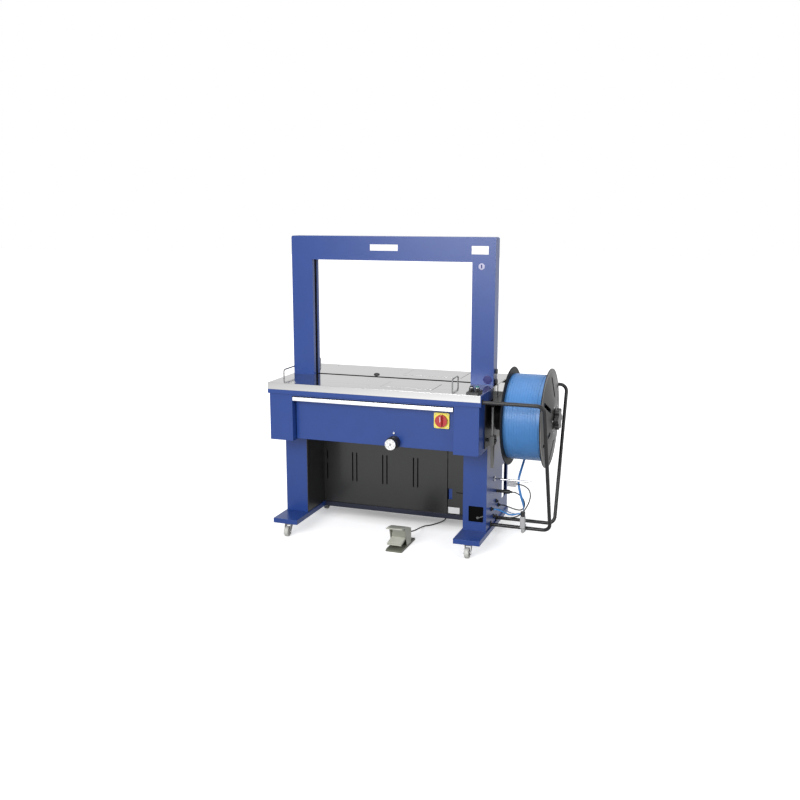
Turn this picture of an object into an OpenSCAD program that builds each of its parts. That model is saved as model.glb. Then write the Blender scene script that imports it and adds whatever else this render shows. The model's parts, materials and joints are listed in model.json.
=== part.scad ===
// Arch strapping machine: table with strap arch, strap reel on a tube frame, foot pedal.
// Machine axes while modelling: x to the right, y to the back, z up from the floor,
// with x = 0 and y = 0 in the middle of the arch.

/* [Table] */
// Width of the table and of the rim under it
table_w = 1104; // [1080:1:1200]
// Depth of the table
table_d = 650; // [630:1:760]
// Height of the table top above the floor
table_h = 820; // [800:1:900]
// Height of the folded table edge
fascia_h = 34; // [24:1:50]
// Thickness of the table sheet
table_t = 3; // [2:0.5:5]
// Width of the strap slot between the two table plates
slot_w = 16; // [10:1:24]
// Height of the chrome loops on the table
loop_h = 40; // [30:1:60]
// Radius of the chrome wire
wire_r = 3.5; // [2.5:0.5:4]
// Length of the loop along the left edge
side_loop_l = 460; // [200:5:465]
// Length of the short loop at the right
short_loop_l = 100; // [60:5:110]

/* [Arch] */
// Clear width of the arch
arch_w = 850; // [700:5:860]
// Clear height of the arch
arch_h = 600; // [400:5:800]
// Width of an arch column
column_w = 116; // [100:1:118]
// Height of the arch beam
beam_h = 120; // [90:1:150]
// Depth of the arch
arch_d = 76; // [66:1:100]
// Width of the strap track between the arch covers
track_w = 30; // [24:1:40]
// Wall of the arch covers
cover_t = 2.5; // [1.5:0.5:4]

/* [Housing and legs] */
// Width of the housing under the table
body_w = 1090; // [1060:1:1096]
// Depth of the housing under the table
body_d = 636; // [620:1:640]
// Height of the housing floor above the ground
body_z = 526; // [480:1:560]
// Sheet thickness of housing and legs
sheet_t = 3; // [2:0.5:4]
// Height of the rim that carries the table
rim_h = 21; // [15:1:30]
// Width of the flap opening
opening_w = 840; // [780:1:860]
// How far the flap face lies behind the housing front
flap_recess = 39; // [36:1:50]
// Width of a leg
leg_w = 120; // [100:1:130]
// Distance of the legs behind the housing front
leg_setback = 168; // [140:1:200]
// Depth of a leg
leg_d = 450; // [420:1:460]
// Width of a foot
foot_w = 134; // [125:1:134]
// Length of a foot
foot_l = 597; // [560:1:640]
// Height of a foot beam
foot_h = 25; // [20:1:40]
// Clear height under the feet
foot_z = 75; // [75:1:90]

/* [Reel] */
// Drop of the reel axle below the table top
reel_drop = 153; // [146:1:158]
// Radius of the reel flanges
flange_r = 245; // [235:1:255]
// Outer radius of the wound strap
coil_r = 212; // [190:1:220]
// Radius of the reel drum
drum_r = 100; // [80:1:120]
// Width of the wound strap
coil_w = 175; // [150:1:185]
// Distance from the housing to the inner flange
flange_gap = 80; // [76:1:90]
// Radius of the fixed axle
axle_r = 15; // [12:0.5:18]
// Width of the strap
strap_w = 12; // [9:0.5:15]
// Thickness of the strap
strap_t = 1; // [0.8:0.1:1.2]
// Radius of the frame tubes
tube_r = 9; // [8:0.5:12]
// Distance of the upper tubes from the middle
tube_top_y = 300; // [285:1:308]
// Distance of the lower tubes from the middle
tube_low_y = 58; // [50:1:70]
// Height of the lower tubes
tube_low_z = 112; // [111:1:120]
// Distance from the housing to the upright tubes
tube_reach = 302; // [300:1:340]

/* [Pedal] */
// Width of the foot pedal
pedal_w = 86; // [80:1:120]
// Length of the foot pedal
pedal_l = 209; // [200:1:230]
// Height of the pedal hood
pedal_h = 124; // [118:1:140]
// Radius of the pedal cable
pedal_cable_r = 3.5; // [3:0.25:4]

/* [Casters] */
// Radius of a caster wheel
wheel_r = 27; // [22:0.5:28]
// Width of a caster wheel
wheel_w = 22; // [16:1:24]
// Trail of a caster wheel behind its swivel
trail = 20; // [14:1:24]

/* [Fits] */
// Radial clearance of turning fits
fit = 0.06; // [0.03:0.01:0.1]
// Gap between pieces that pass each other
gap = 0.5; // [0.4:0.1:1]

/* [Hidden] */
$fn = 48;

paint = [0.25, 0.35, 0.65];
dark_paint = [0.13, 0.17, 0.36];
steel = [0.78, 0.78, 0.78];
black = [0.12, 0.12, 0.13];
charcoal = [0.28, 0.28, 0.28];
strap_blue = [0.25, 0.5, 0.85];

// Table and housing
tx = table_w / 2;
ty = table_d / 2;
rim_top = table_h - fascia_h;
rim_z = rim_top - rim_h;
bx = body_w / 2;
by = body_d / 2;
open_x = opening_w / 2;
header_h = 8;
open_top = rim_z - header_h;
floor_top = body_z + sheet_t;
floor_set = 34;
floor_front = -by + flap_recess + floor_set;

// Plates on the right end of the table: a painted cheek in front, a plain apron over the reel bracket
side_t = 3;
side_drop = 2;
apron_front = 95;
apron_rear = 150;
cheek_gap = 2;

// Arch
in_x = arch_w / 2;
out_x = in_x + column_w;
in_top = table_h + arch_h;
arch_top = in_top + beam_h;
arch_y = arch_d / 2;
track_y = track_w / 2;
track_gap = 3;
track_depth = 34;
groove_depth = 20;
corner_r = 10;

// Front flap, which turns on two pins at its lower corners
flap_y = -by + flap_recess;
flap_side_gap = 3;
flap_x = open_x - flap_side_gap;
flap_z0 = body_z + 5;
flap_depth = 15;
grip_top = open_top - 4;
flap_top = grip_top;
flap_pin_r = 4;
flap_pin_y = flap_y + 8;
flap_pin_z = flap_z0 + 8;
flap_lug = 8;
grip_h = 20;
grip_t = 6;
grip_y = -by - 4;

// Legs and feet
leg_x1 = bx;
leg_x0 = bx - leg_w;
leg_mid = (leg_x0 + leg_x1) / 2;
leg_y0 = -by + leg_setback;
leg_y1 = leg_y0 + leg_d;
foot_x0 = leg_mid - foot_w / 2;
foot_x1 = leg_mid + foot_w / 2;
foot_top = foot_z + foot_h;
foot_end = 110;
foot_wall = 4;
rear_edge = 20;
window_d = 104;
window_edge = 22;
window_rise = 80;
window_drop = 164;
window_y1 = leg_y1 - window_edge;
window_y0 = window_y1 - window_d;
window_z0 = foot_top + window_rise;
window_z1 = body_z - window_drop;
port_in = 29;
port_edge = 15;
port_rise = 47;
port_h = 80;
port_r = 4;
slit_fit = 0.7;

// Lower cover, door and strap magazine
cover_set = 220;
cover_y = leg_y0 + cover_set;
cover_sheet = 4;
return_t = 3;
rail_d = 50;
rail_lead = 8;
rail_y = cover_y - rail_lead;
rail_top = foot_top;
door_w = 140;
door_sheet = 3;
door_gap = 4;
door_x1 = leg_x0 - door_gap;
door_x0 = door_x1 - door_w;
door_pin_r = 3;
door_knuckle_r = 6;
door_knuckle_h = 28;
door_pin_in = 8;
door_pin_x = door_x1 - door_pin_in;
door_pin_y = cover_y + door_sheet / 2;
door_z0 = rail_top + 3;
door_z1 = body_z - door_gap;
notch_w = 24;
notch_h = 58;
notch_rise = 80;
slit_in = 45;
slit_l = 40;
slit_h = 4;
slit_rise = 117;
slot_mid = -71.5;
slot_pitch = 173.6;
slot_pair = 24;
vent_w = 7;
vent_h = 162;
vent_drop = 300;
vent_z0 = body_z - vent_drop;
vent_edge = 20;
vent_low_h = 92;
vent_high_h = 50;
box_gap = 5;
box_x0 = -leg_x0 + box_gap;
box_x1 = door_pin_x - door_knuckle_r - box_gap - 1;
box_y0 = cover_y + cover_sheet;
box_y1 = leg_y1 - door_gap;
box_h = 320;
box_t = 2;
mouth_edge = 20;

// Reel on its axle
side_x = bx;
reel_z = table_h - reel_drop;
bracket_t = 4;
flange_x = side_x + flange_gap;
flange_t = 6;
coil_x0 = flange_x + flange_t;
coil_x1 = coil_x0 + coil_w;
rim_gap = 8;
rim_w = 18;
rim_t = 5;
rim_x = coil_x1 + rim_gap;
dish_depth = 26;
dish_x = rim_x + dish_depth;
dish_r = drum_r - 20;
hub_wall = 9;
hub_r = axle_r + hub_wall;
hub_back = 24;
hub_lip = 8;
hub_x0 = flange_x - hub_back;
hub_x1 = dish_x + hub_lip;
seat_w = 14;
seat_l = 6;
brake_r = 75;
brake_bore = 40;
brake_x0 = side_x + 12;
drum_t = 4;
core_fit = 0.3;
nut_r = 55;
nut_t = 21;
lobe_r = 15;
nut_x0 = hub_x1 + gap;
nut_x1 = nut_x0 + nut_t;
axle_x1 = nut_x1 - 3;
wind_rings = 24;
wind_pitch = strap_w + 0.7;
wind_turns = floor((coil_w - strap_w - 1) / wind_pitch);
wind_x0 = coil_x0 + (coil_w - wind_turns * wind_pitch) / 2;
wind_mid_r = coil_r - strap_t / 2;
wind_low_r = (wind_mid_r - strap_t / 2) * cos(180 / wind_rings);
core_r = wind_low_r - core_fit;

// Brake lever on its pin beside the inner flange
lever_y = -180;
lever_rise = 52;
lever_z = body_z + lever_rise;
lever_pin_r = 8;
lever_w = 24;
lever_gap = 21;
lever_x0 = side_x + lever_gap;
lever_x1 = lever_x0 + lever_w;
lever_l = 138;
lever_block = 40;
lever_block_h = 44;
shelf_drop = 8;
shelf_z = rim_z - shelf_drop;

// Tube frame
tube_top_z = rim_top - 1;
tube_x = side_x + tube_reach;
tube_bend = 36;
tube_turn = atan2(tube_top_y - tube_low_y, tube_top_z - tube_low_z);
tube_span = norm([tube_top_y - tube_low_y, tube_top_z - tube_low_z]);

// Strap guide rod, air unit and side glands
guide_drop = 332;
guide_z = reel_z - guide_drop;
guide_r = 5;
guide_reach = 195;
guide_x1 = side_x + guide_reach;
guide_block_in = 70;
guide_block_l = 45;
guide_block_w = 24;
guide_block_drop = 30;
guide_block_x0 = side_x + guide_block_in;
guide_block_x1 = guide_block_x0 + guide_block_l;
guide_block_z0 = guide_z - guide_block_drop;
guide_block_z1 = guide_z - 2;
sensor_z = guide_z - 17;
filter_reach = 170;
filter_x = side_x + filter_reach;
filter_w = 24;
filter_set = 27;
filter_y = -tube_low_y - filter_set;
filter_h = 60;
filter_cap_h = 25;
clamp_w = 20;
clamp_r = 16;
filter_low = tube_low_z + clamp_r / 2;
bowl_r = 9;
bowl_drop = 19;
filter_port_z = filter_low + filter_h + filter_cap_h / 2;
gland_l = 13;
gland_x = side_x + gland_l;
socket_l = 40;
plug_l = 40;
sensor_exit = [-5, 140];
power_exit = [95, 170];
power_socket = [60, 255];
air_exit = [-50, 190];
spare_gland = [50, 204];
strap_inlet = [35, 165];
floor_gland = [223, 268];
floor_gland_l = 14;

// Strapping head inside the housing
head_x = 90;
head_plate = 8;
head_y0 = -100;
head_y1 = 120;
head_drop = 20;
head_top = table_h - head_drop;
cam_y = 20;
cam_drop = 24.5;
cam_z = (floor_top + head_top) / 2 - cam_drop;
cam_shaft_r = 12;
cam_r = 38;
cam_t = 14;
cam_step = 40;
cam_offset = 7;
motor_r = 48;
gearbox_l = 80;
gearbox_w = 120;
motor_l = 150;
shaft_end = 30;
feed_y = -20;
feed_r = 40;
pinch_r = 20;
pinch_drop = 24.8;
nip = 1.2;
pinch_z = head_top - pinch_drop;
feed_z = pinch_z - feed_r - pinch_r - nip;
feed_pin_r = 8;
pinch_pin_r = 6;
roller_w = 20;
anvil_w = 40;

// Console, switch and gauge
console_x0 = 477;
console_x1 = 533;
console_y0 = -ty + 17;
console_y1 = -ty + 110;
console_h = 26;
base_h = 10;
turret_r = 12;
lamp_r = 6;
lamp_h = 20;
button_r = 9;
switch_x = 352;
switch_z = rim_z - 85;
switch_w = 76;
switch_t = 8;
spindle_r = 6;
gauge_x = 109;
gauge_z = body_z + 28;
regulator_r = 32;
regulator_l = 39;
gauge_r = 27;
gauge_l = 22;
gauge_front = flap_y - regulator_l - gauge_l;
needle_pin_r = 2;

// Foot pedal: a hood with a long visor on a longer base, and a treadle with a riser under the visor
pedal_x = 75;
pedal_x1 = pedal_x + pedal_w;
pedal_y0 = -by;
pedal_y1 = pedal_y0 + pedal_l;
pedal_base_h = 12;
base_nose = 20;
hood_t = 4;
visor_t = 7;
crown_r = 150;
hood_set = 64;
hood_y1 = pedal_y1 - hood_set;
hood_knee_l = 56;
hood_knee = hood_y1 - hood_knee_l;
hood_low_set = 83;
hood_low = pedal_y0 + hood_low_set;
hood_high_set = 53;
hood_high = pedal_y0 + hood_high_set;
hood_back_h = 88;
knee_drop = 14;
hood_knee_h = pedal_h - knee_drop;
pedal_pin_r = 4;
pedal_hub_r = 9;
pedal_pin_set = 32;
pedal_pin_y = hood_y1 - pedal_pin_set;
pedal_pin_z = 40;
treadle_gap = 1.5;
treadle_t = 8;
treadle_nose = pedal_y0 + 7;
treadle_l = 69;
treadle_back = treadle_nose + treadle_l;
treadle_rise = 56;
riser_h = 92;
pedal_gland = [146, 56];
pedal_gland_l = 12;
pedestal_h = 46;
pedestal_l = 15;

// Casters
stem_r = 7;
stem_l = 15;
swivel_r = 22;
swivel_h = 10;
swivel_top = foot_z - 3;
fork_in = wheel_w / 2 + 3;
fork_t = 3;
caster_axle_r = 4;
caster_y = foot_l / 2 - 46;

// Whole machine, placed with its origin under the middle of its box
mid_x = (nut_x1 - tx) / 2;
mid_y = (gauge_front + ty) / 2;

// Cord routes in machine axes
pedal_route = [[pedal_gland.x, hood_y1 + pedal_gland_l, pedal_gland.y], [146, -154, 56], [146, -147, 56], [148, -110, 47],
    [146, -60, 36], [145, -20, 29], [139, 40, 16], [134, 80, 6], [142, 108, 4], [158, 124, 4],
    [174, 142, 4], [203, 199, 4], [216, 236, 8], [222, 256, 26], [223, 267, 54],
    [floor_gland.x, floor_gland.y, rail_top - floor_gland_l - 7],
    [floor_gland.x, floor_gland.y, rail_top - floor_gland_l]];
sensor_route = [[guide_block_x1, 0, sensor_z], [676, -1, 317], [702, -4, 312], [726, -8, 296],
    [735, -12, 270], [732, -20, 240], [720, -30, 210], [698, -36, 178], [664, -30, 154],
    [620, -16, 142], [578, sensor_exit.x, sensor_exit.y], [567, sensor_exit.x, sensor_exit.y],
    [gland_x, sensor_exit.x, sensor_exit.y]];
power_route = [[side_x + socket_l + plug_l, power_socket.x, power_socket.y],
    [633, power_socket.x, power_socket.y], [643, power_socket.x, 254],
    [664, 58, 245], [684, 56, 226], [693, 56, 202], [688, 60, 178], [668, 68, 162], [636, 80, 160],
    [600, 90, 166], [578, power_exit.x, power_exit.y], [567, power_exit.x, power_exit.y],
    [gland_x, power_exit.x, power_exit.y]];
air_route = [[filter_x - filter_w / 2, filter_y, filter_port_z], [696, -85, 192], [684, -85, 189],
    [664, -83, 182], [640, -76, 180], [609, -61, 185], [578, air_exit.x, air_exit.y],
    [567, air_exit.x, air_exit.y],
    [gland_x, air_exit.x, air_exit.y]];
lead_r = 3;
air_r = 4;

// Helpers
module machine() { translate([-mid_x, -mid_y, 0]) children(); }
module block(a, b) { translate(a) cube(b - a); }
module rod_x(r, x0, x1, y, z) { translate([x0, y, z]) rotate([0, 90, 0]) cylinder(r = r, h = x1 - x0); }
module rod_y(r, y0, y1, x, z) { translate([x, y1, z]) rotate([90, 0, 0]) cylinder(r = r, h = y1 - y0); }
module rod_z(r, z0, z1, x, y) { translate([x, y, z0]) cylinder(r = r, h = z1 - z0); }
module extrude_x(x0, x1) { translate([x0, 0, 0]) rotate([90, 0, 90]) linear_extrude(x1 - x0) children(); }
module extrude_y(y0, y1) { translate([0, y1, 0]) rotate([90, 0, 0]) linear_extrude(y1 - y0) children(); }
module sided(side) {
    if (side < 0) mirror([1, 0, 0]) children();
    else children();
}
// Rectangle with round corners, lower left corner at a, upper right corner at b
module round_rect(a, b, r) {
    translate([a.x + r, a.y]) square([b.x - a.x - 2 * r, b.y - a.y]);
    translate([a.x, a.y + r]) square([b.x - a.x, b.y - a.y - 2 * r]);
    for (x = [a.x + r, b.x - r], y = [a.y + r, b.y - r]) translate([x, y]) circle(r);
}
// Upright slot with round ends
module vent(x, z, w, h) {
    translate([x - w / 2, z + w / 2]) square([w, h - w]);
    for (v = [z + w / 2, z + h - w / 2]) translate([x, v]) circle(w / 2);
}
// Round bar bent to a U in the xy plane: the web lies on y = 0 from x = 0 to span, the two legs hang below
module bent_u(span, leg_a, leg_b, r, bend) {
    translate([bend, 0, 0]) rotate([0, 90, 0]) cylinder(r = r, h = span - 2 * bend);
    translate([bend, -bend, 0]) rotate(90) rotate_extrude(angle = 90) translate([bend, 0]) circle(r);
    translate([span - bend, -bend, 0]) rotate_extrude(angle = 90) translate([bend, 0]) circle(r);
    translate([0, -leg_a, 0]) rotate([-90, 0, 0]) cylinder(r = r, h = leg_a - bend);
    translate([span, -leg_b, 0]) rotate([-90, 0, 0]) cylinder(r = r, h = leg_b - bend);
}

// Sweeps: smooth points through a hand-chosen route, and a skin of triangles over rings of points
function unit(v) = v / norm(v);
function smooth_at(p, i, t) =
    let (n = len(p) - 1, a = p[max(i - 1, 0)], b = p[i], c = p[i + 1], d = p[min(i + 2, n)])
    0.5 * (2 * b + (c - a) * t + (2 * a - 5 * b + 4 * c - d) * t * t + (3 * b - a - 3 * c + d) * t * t * t);
function smooth_route(p, n) =
    concat([for (i = [0:len(p) - 2], k = [0:n - 1]) smooth_at(p, i, k / n)], [p[len(p) - 1]]);
function heading(p, i) = unit(p[min(i + 1, len(p) - 1)] - p[max(i - 1, 0)]);
function square_to(v, t) = unit(v - (v * t) * t);
function ring(centre, t, across, outline) = let (u = square_to(across, t), v = cross(t, u))
    [for (s = outline) centre + s.x * u + s.y * v];
function round_outline(r, n) = [for (k = [0:n - 1]) r * [cos(360 * k / n), sin(360 * k / n)]];
function strap_outline(w, t) = [[w / 2, 0], [w / 2 - t, t / 2], [t - w / 2, t / 2],
    [-w / 2, 0], [t - w / 2, -t / 2], [w / 2 - t, -t / 2]];
module skin(rings) {
    n = len(rings[0]);
    m = len(rings);
    sides = [for (i = [0:m - 2], k = [0:n - 1]) let (a = i * n + k, b = i * n + (k + 1) % n)
        each [[a, a + n, b], [b, a + n, b + n]]];
    start = [for (k = [1:n - 2]) [0, k, k + 1]];
    finish = [for (k = [1:n - 2]) let (z = (m - 1) * n) [z, z + k + 1, z + k]];
    polyhedron(points = [for (r = rings, p = r) p], faces = concat(sides, start, finish));
}
module tube(route, r, sides) {
    p = smooth_route(route, 2);
    skin([for (i = [0:len(p) - 1]) ring(p[i], heading(p, i), [0.31, 0.83, 0.47], round_outline(r, sides))]);
}

// Feet, legs and the lower part
module foot(side) {
    sided(side) difference() {
        union() {
            block([foot_x0, -foot_l / 2, foot_z], [foot_x1, foot_l / 2, foot_top]);
            for (y = [-caster_y, caster_y]) rod_z(stem_r, foot_z - stem_l, foot_z, leg_mid, y);
        }
        block([foot_x0 + foot_wall, -foot_l / 2 + foot_end, foot_z - 1],
            [foot_x1 - foot_wall, foot_l / 2 - foot_end, foot_top - foot_wall]);
    }
}
module leg(side) {
    sided(side) difference() {
        block([leg_x0, leg_y0, foot_top], [leg_x1, leg_y1, body_z]);
        block([leg_x0 + sheet_t, leg_y0 + sheet_t, foot_top - 1],
            [leg_x1 - sheet_t, leg_y1 - sheet_t, body_z + 1]);
        block([leg_x0 + rear_edge, leg_y1 - sheet_t - 1, foot_top + rear_edge],
            [leg_x1 - rear_edge, leg_y1 + 1, body_z - rear_edge]);
        block([leg_x1 - sheet_t - 1, window_y0, window_z0], [leg_x1 + 1, window_y1, window_z1]);
    }
}
module left_foot() { color(paint) machine() foot(-1); }
module right_foot() { color(paint) machine() foot(1); }
module left_leg() { color(paint) machine() leg(-1); }
module right_leg() {
    color(paint) machine() difference() {
        leg(1);
        extrude_y(leg_y0 - 1, leg_y0 + sheet_t + 1)
            round_rect([leg_x0 + port_in, foot_top + port_rise],
                [leg_x1 - port_edge, foot_top + port_rise + port_h], port_r);
        extrude_x(leg_x1 - sheet_t - 1, leg_x1 + 1) translate(strap_inlet)
            square([strap_w + 2 * slit_fit, strap_t + 2 * slit_fit], center = true);
    }
}
module bottom_rail() {
    color(dark_paint) machine() {
        block([-foot_x0, rail_y, foot_z], [foot_x0, rail_y + rail_d, rail_top]);
        rod_z(door_pin_r, rail_top, door_z0 + door_knuckle_h - 4, door_pin_x, door_pin_y);
    }
}
module lower_cover() {
    color(charcoal) machine() difference() {
        union() {
            block([-leg_x0, cover_y, rail_top], [door_x0 - door_gap, cover_y + cover_sheet, body_z]);
            block([-leg_x0, leg_y0, rail_top], [return_t - leg_x0, cover_y + 1, body_z]);
        }
        extrude_y(cover_y - 1, cover_y + cover_sheet + 1) {
            for (k = [-1:1], s = [-0.5, 0.5])
                vent(slot_mid + k * slot_pitch + s * slot_pair, vent_z0, vent_w, vent_h);
            vent(vent_edge - leg_x0, vent_z0, vent_w, vent_low_h);
            vent(vent_edge - leg_x0, vent_z0 + vent_h - vent_high_h, vent_w, vent_high_h);
        }
    }
}
module magazine_door() {
    color(charcoal) machine() difference() {
        union() {
            block([door_x0, cover_y, door_z0], [door_x1, cover_y + door_sheet, door_z1]);
            for (z = [door_z0, door_z1 - door_knuckle_h])
                rod_z(door_knuckle_r, z, z + door_knuckle_h, door_pin_x, door_pin_y);
        }
        rod_z(door_pin_r + fit, door_z0 - 1, door_z1 + 1, door_pin_x, door_pin_y);
        extrude_y(cover_y - 1, cover_y + door_sheet + 1) {
            translate([door_x0 - 1, rail_top + notch_rise]) square([notch_w + 1, notch_h]);
            translate([door_x0 + slit_in, rail_top + slit_rise]) square([slit_l, slit_h]);
        }
    }
}
module strap_magazine() {
    color(black) machine() difference() {
        block([box_x0, box_y0, rail_top], [box_x1, box_y1, rail_top + box_h]);
        block([box_x0 + box_t, box_y0 + box_t, rail_top + box_t],
            [box_x1 - box_t, box_y1 - box_t, rail_top + box_h + 1]);
        block([door_x0 - door_gap, box_y0 - 1, rail_top + mouth_edge],
            [box_x1 - mouth_edge, box_y0 + box_t + 1, rail_top + box_h - mouth_edge]);
    }
}

// Housing with the table on it
module housing() {
    color(paint) machine() {
        difference() {
            union() {
                block([-bx, -by, body_z], [bx, by, rim_z]);
                block([-tx, -ty, rim_z], [tx, ty, rim_top]);
            }
            block([sheet_t - bx, sheet_t - by, floor_top], [bx - sheet_t, by - sheet_t, rim_top + 1]);
            block([-open_x, -by - 1, body_z - 1], [open_x, floor_front, open_top]);
        }
        block([tx, -ty, rim_z], [tx + side_t, -apron_front - cheek_gap, table_h - side_drop]);
        for (side = [-1, 1]) sided(side) {
            block([open_x, sheet_t - by, floor_top], [open_x + sheet_t, floor_front, rim_z]);
            rod_x(flap_pin_r, flap_x - flap_lug, open_x, flap_pin_y, flap_pin_z);
        }
        rod_z(door_pin_r, door_z1 - door_knuckle_h + 4, body_z, door_pin_x, door_pin_y);
    }
}
// One table plate with folded edges, lying in front of the strap slot, and its part of the right apron
module table_plate(apron) {
    difference() {
        block([-tx, -ty, rim_top], [tx, -slot_w / 2, table_h]);
        block([table_t - tx, table_t - ty, rim_top - 1], [tx - table_t, 1, table_h - table_t]);
    }
    block([tx, -apron, shelf_z], [tx + side_t, -slot_w / 2, table_h - side_drop]);
}
module table_front() { color(steel) machine() table_plate(apron_front); }
module table_rear() { color(steel) machine() mirror([0, 1, 0]) table_plate(apron_rear); }
module table_loops() {
    color(steel) machine() {
        translate([-(out_x + tx) / 2, -150, table_h + loop_h - wire_r]) rotate([90, 0, 90])
            bent_u(side_loop_l, loop_h - wire_r, loop_h - wire_r, wire_r, 14);
        translate([in_x - 67, -30 - short_loop_l, table_h + loop_h - wire_r]) rotate([90, 0, 90])
            bent_u(short_loop_l, loop_h - wire_r, loop_h - wire_r, wire_r, 14);
    }
}
module console() {
    color(black) machine() difference() {
        union() {
            extrude_x(console_x0, console_x1) polygon([[console_y0, table_h], [console_y1, table_h],
                [console_y1, table_h + base_h], [console_y0 + base_h / 2, table_h + base_h],
                [console_y0, table_h + base_h / 2]]);
            for (k = [0, 1]) button_at(k) rod_z(turret_r, base_h - console_h - 1, 0, 0, 0);
            for (k = [0, 1]) lamp_at(k) rod_z(lamp_r, base_h - 1, lamp_h, 0, 0);
        }
        for (k = [0, 1]) button_at(k) rod_z(button_r + fit, -14, 1, 0, 0);
    }
}
// Top middle of push button k on the console, and foot of lamp k in front of it
module button_at(k) {
    translate([console_x0 + 14 + 28 * k, (console_y0 + console_y1) / 2, table_h + console_h]) children();
}
module lamp_at(k) { translate([console_x0 + 14 + 28 * k, console_y0 + 18, table_h]) children(); }
module push_button() {
    rod_z(button_r, -8, 6, 0, 0);
    rod_z(button_r - 1.5, 6, 8, 0, 0);
}
module start_button() { color("teal") machine() button_at(1) push_button(); }
module reset_button() { color(black) machine() button_at(0) push_button(); }

// Arch: two folded covers with the strap track between them
module arch_outline(inset) {
    difference() {
        union() {
            translate([inset - out_x, table_h - inset])
                square([2 * (out_x - inset), arch_top - table_h - corner_r]);
            round_rect([inset - out_x, in_top], [out_x - inset, arch_top - inset], corner_r);
        }
        translate([-in_x - inset, table_h - 2 * inset - 1])
            square([2 * (in_x + inset), arch_h + 3 * inset + 1]);
    }
}
module arch_front() {
    color(paint) machine() difference() {
        extrude_y(-arch_y, -track_y) arch_outline(0);
        extrude_y(cover_t - arch_y, 1 - track_y) arch_outline(cover_t);
    }
}
module arch_rear() {
    color(paint) machine() {
        difference() {
            extrude_y(track_y, arch_y) arch_outline(0);
            extrude_y(track_y - 1, arch_y - cover_t) arch_outline(cover_t);
        }
        extrude_y(-track_y, track_y) difference() {
            arch_outline(0);
            translate([cover_t - out_x, table_h - 1])
                square([2 * (out_x - cover_t), arch_top - table_h - cover_t - corner_r + 1]);
            round_rect([cover_t - out_x, in_top], [out_x - cover_t, arch_top - cover_t], corner_r);
        }
    }
}
// Plain inverted U between two distances from the arch opening
module track_outline(near, far) {
    difference() {
        translate([-in_x - far, table_h]) square([2 * (in_x + far), arch_h + far]);
        translate([-in_x - near, table_h - 1]) square([2 * (in_x + near), arch_h + near + 1]);
    }
}
module strap_track() {
    color(black) machine() difference() {
        extrude_y(-track_y, track_y) track_outline(track_gap, track_gap + track_depth);
        extrude_y(-slot_w / 2, slot_w / 2) translate([0, -1])
            track_outline(track_gap - 1, track_gap + groove_depth);
    }
}
module arch_latches() {
    color(black) machine() for (z = [12, 64])
        extrude_x(out_x, out_x + 10) round_rect([-8, table_h + z - 10], [12, table_h + z + 12], 4);
}

// Front flap and what it carries
module front_flap() {
    color(paint) machine() difference() {
        block([-flap_x, flap_y, flap_z0], [flap_x, flap_y + flap_depth, flap_top]);
        block([flap_lug - flap_x, flap_y + cover_t, flap_z0 + cover_t],
            [flap_x - flap_lug, flap_y + flap_depth + 1, flap_top - cover_t]);
        rod_x(flap_pin_r + fit, -flap_x - 1, flap_x + 1, flap_pin_y, flap_pin_z);
    }
}
module flap_handle() {
    color([0.92, 0.92, 0.95]) machine() extrude_x(-flap_x, flap_x) {
        translate([grip_y + grip_t / 2, grip_top - 4]) square([flap_y - grip_y - grip_t / 2, 4]);
        round_rect([grip_y, grip_top - grip_h], [grip_y + grip_t, grip_top], grip_t / 2 - 0.2);
    }
}
module switch_plate() {
    color([0.95, 0.88, 0.3]) machine() difference() {
        extrude_y(flap_y - switch_t, flap_y)
            round_rect([switch_x - switch_w / 2, switch_z - switch_w / 2],
                [switch_x + switch_w / 2, switch_z + switch_w / 2], 6);
        rod_y(spindle_r + fit, flap_y - switch_t - 1, flap_y + 1, switch_x, switch_z);
    }
}
module switch_knob() {
    color([0.7, 0.13, 0.15]) machine() {
        rod_y(spindle_r, flap_y - switch_t - 2, flap_y - gap, switch_x, switch_z);
        rod_y(30, flap_y - switch_t - gap - 12, flap_y - switch_t - gap, switch_x, switch_z);
        extrude_y(flap_y - switch_t - gap - 28, flap_y - switch_t - gap - 11)
            vent(switch_x, switch_z - 27, 13, 54);
    }
}
module regulator() {
    color(black) machine() rod_y(regulator_r, flap_y - regulator_l, flap_y, gauge_x, gauge_z);
}
module pressure_gauge() {
    color([0.9, 0.9, 0.9]) machine() {
        difference() {
            rod_y(gauge_r, gauge_front, flap_y - regulator_l, gauge_x, gauge_z);
            rod_y(gauge_r - 3, gauge_front - 1, gauge_front + 4, gauge_x, gauge_z);
        }
        rod_y(needle_pin_r, gauge_front + 1, gauge_front + 5, gauge_x, gauge_z);
    }
}
module gauge_needle() {
    color(black) machine() translate([gauge_x, gauge_front + 3.4, gauge_z]) rotate([90, 0, 0])
        linear_extrude(1.6) difference() {
            union() {
                circle(5);
                rotate(225) polygon([[0, -1.6], [19, -0.5], [19, 0.5], [0, 1.6]]);
            }
            circle(needle_pin_r + fit);
        }
}

// Strap reel
module reel_bracket() {
    color(charcoal) machine() {
        block([side_x, lever_y - 35, body_z + 14], [side_x + bracket_t, 120, shelf_z]);
        block([side_x + bracket_t, lever_y - 10, shelf_z - bracket_t], [flange_x - 8, apron_rear, shelf_z]);
        rod_x(2 * axle_r, side_x + bracket_t, hub_x0 - 1, 0, reel_z);
        rod_x(axle_r, hub_x0 - 2, axle_x1, 0, reel_z);
        rod_x(lever_pin_r, side_x + bracket_t, lever_x1 + 6, lever_y, lever_z);
    }
}
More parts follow.
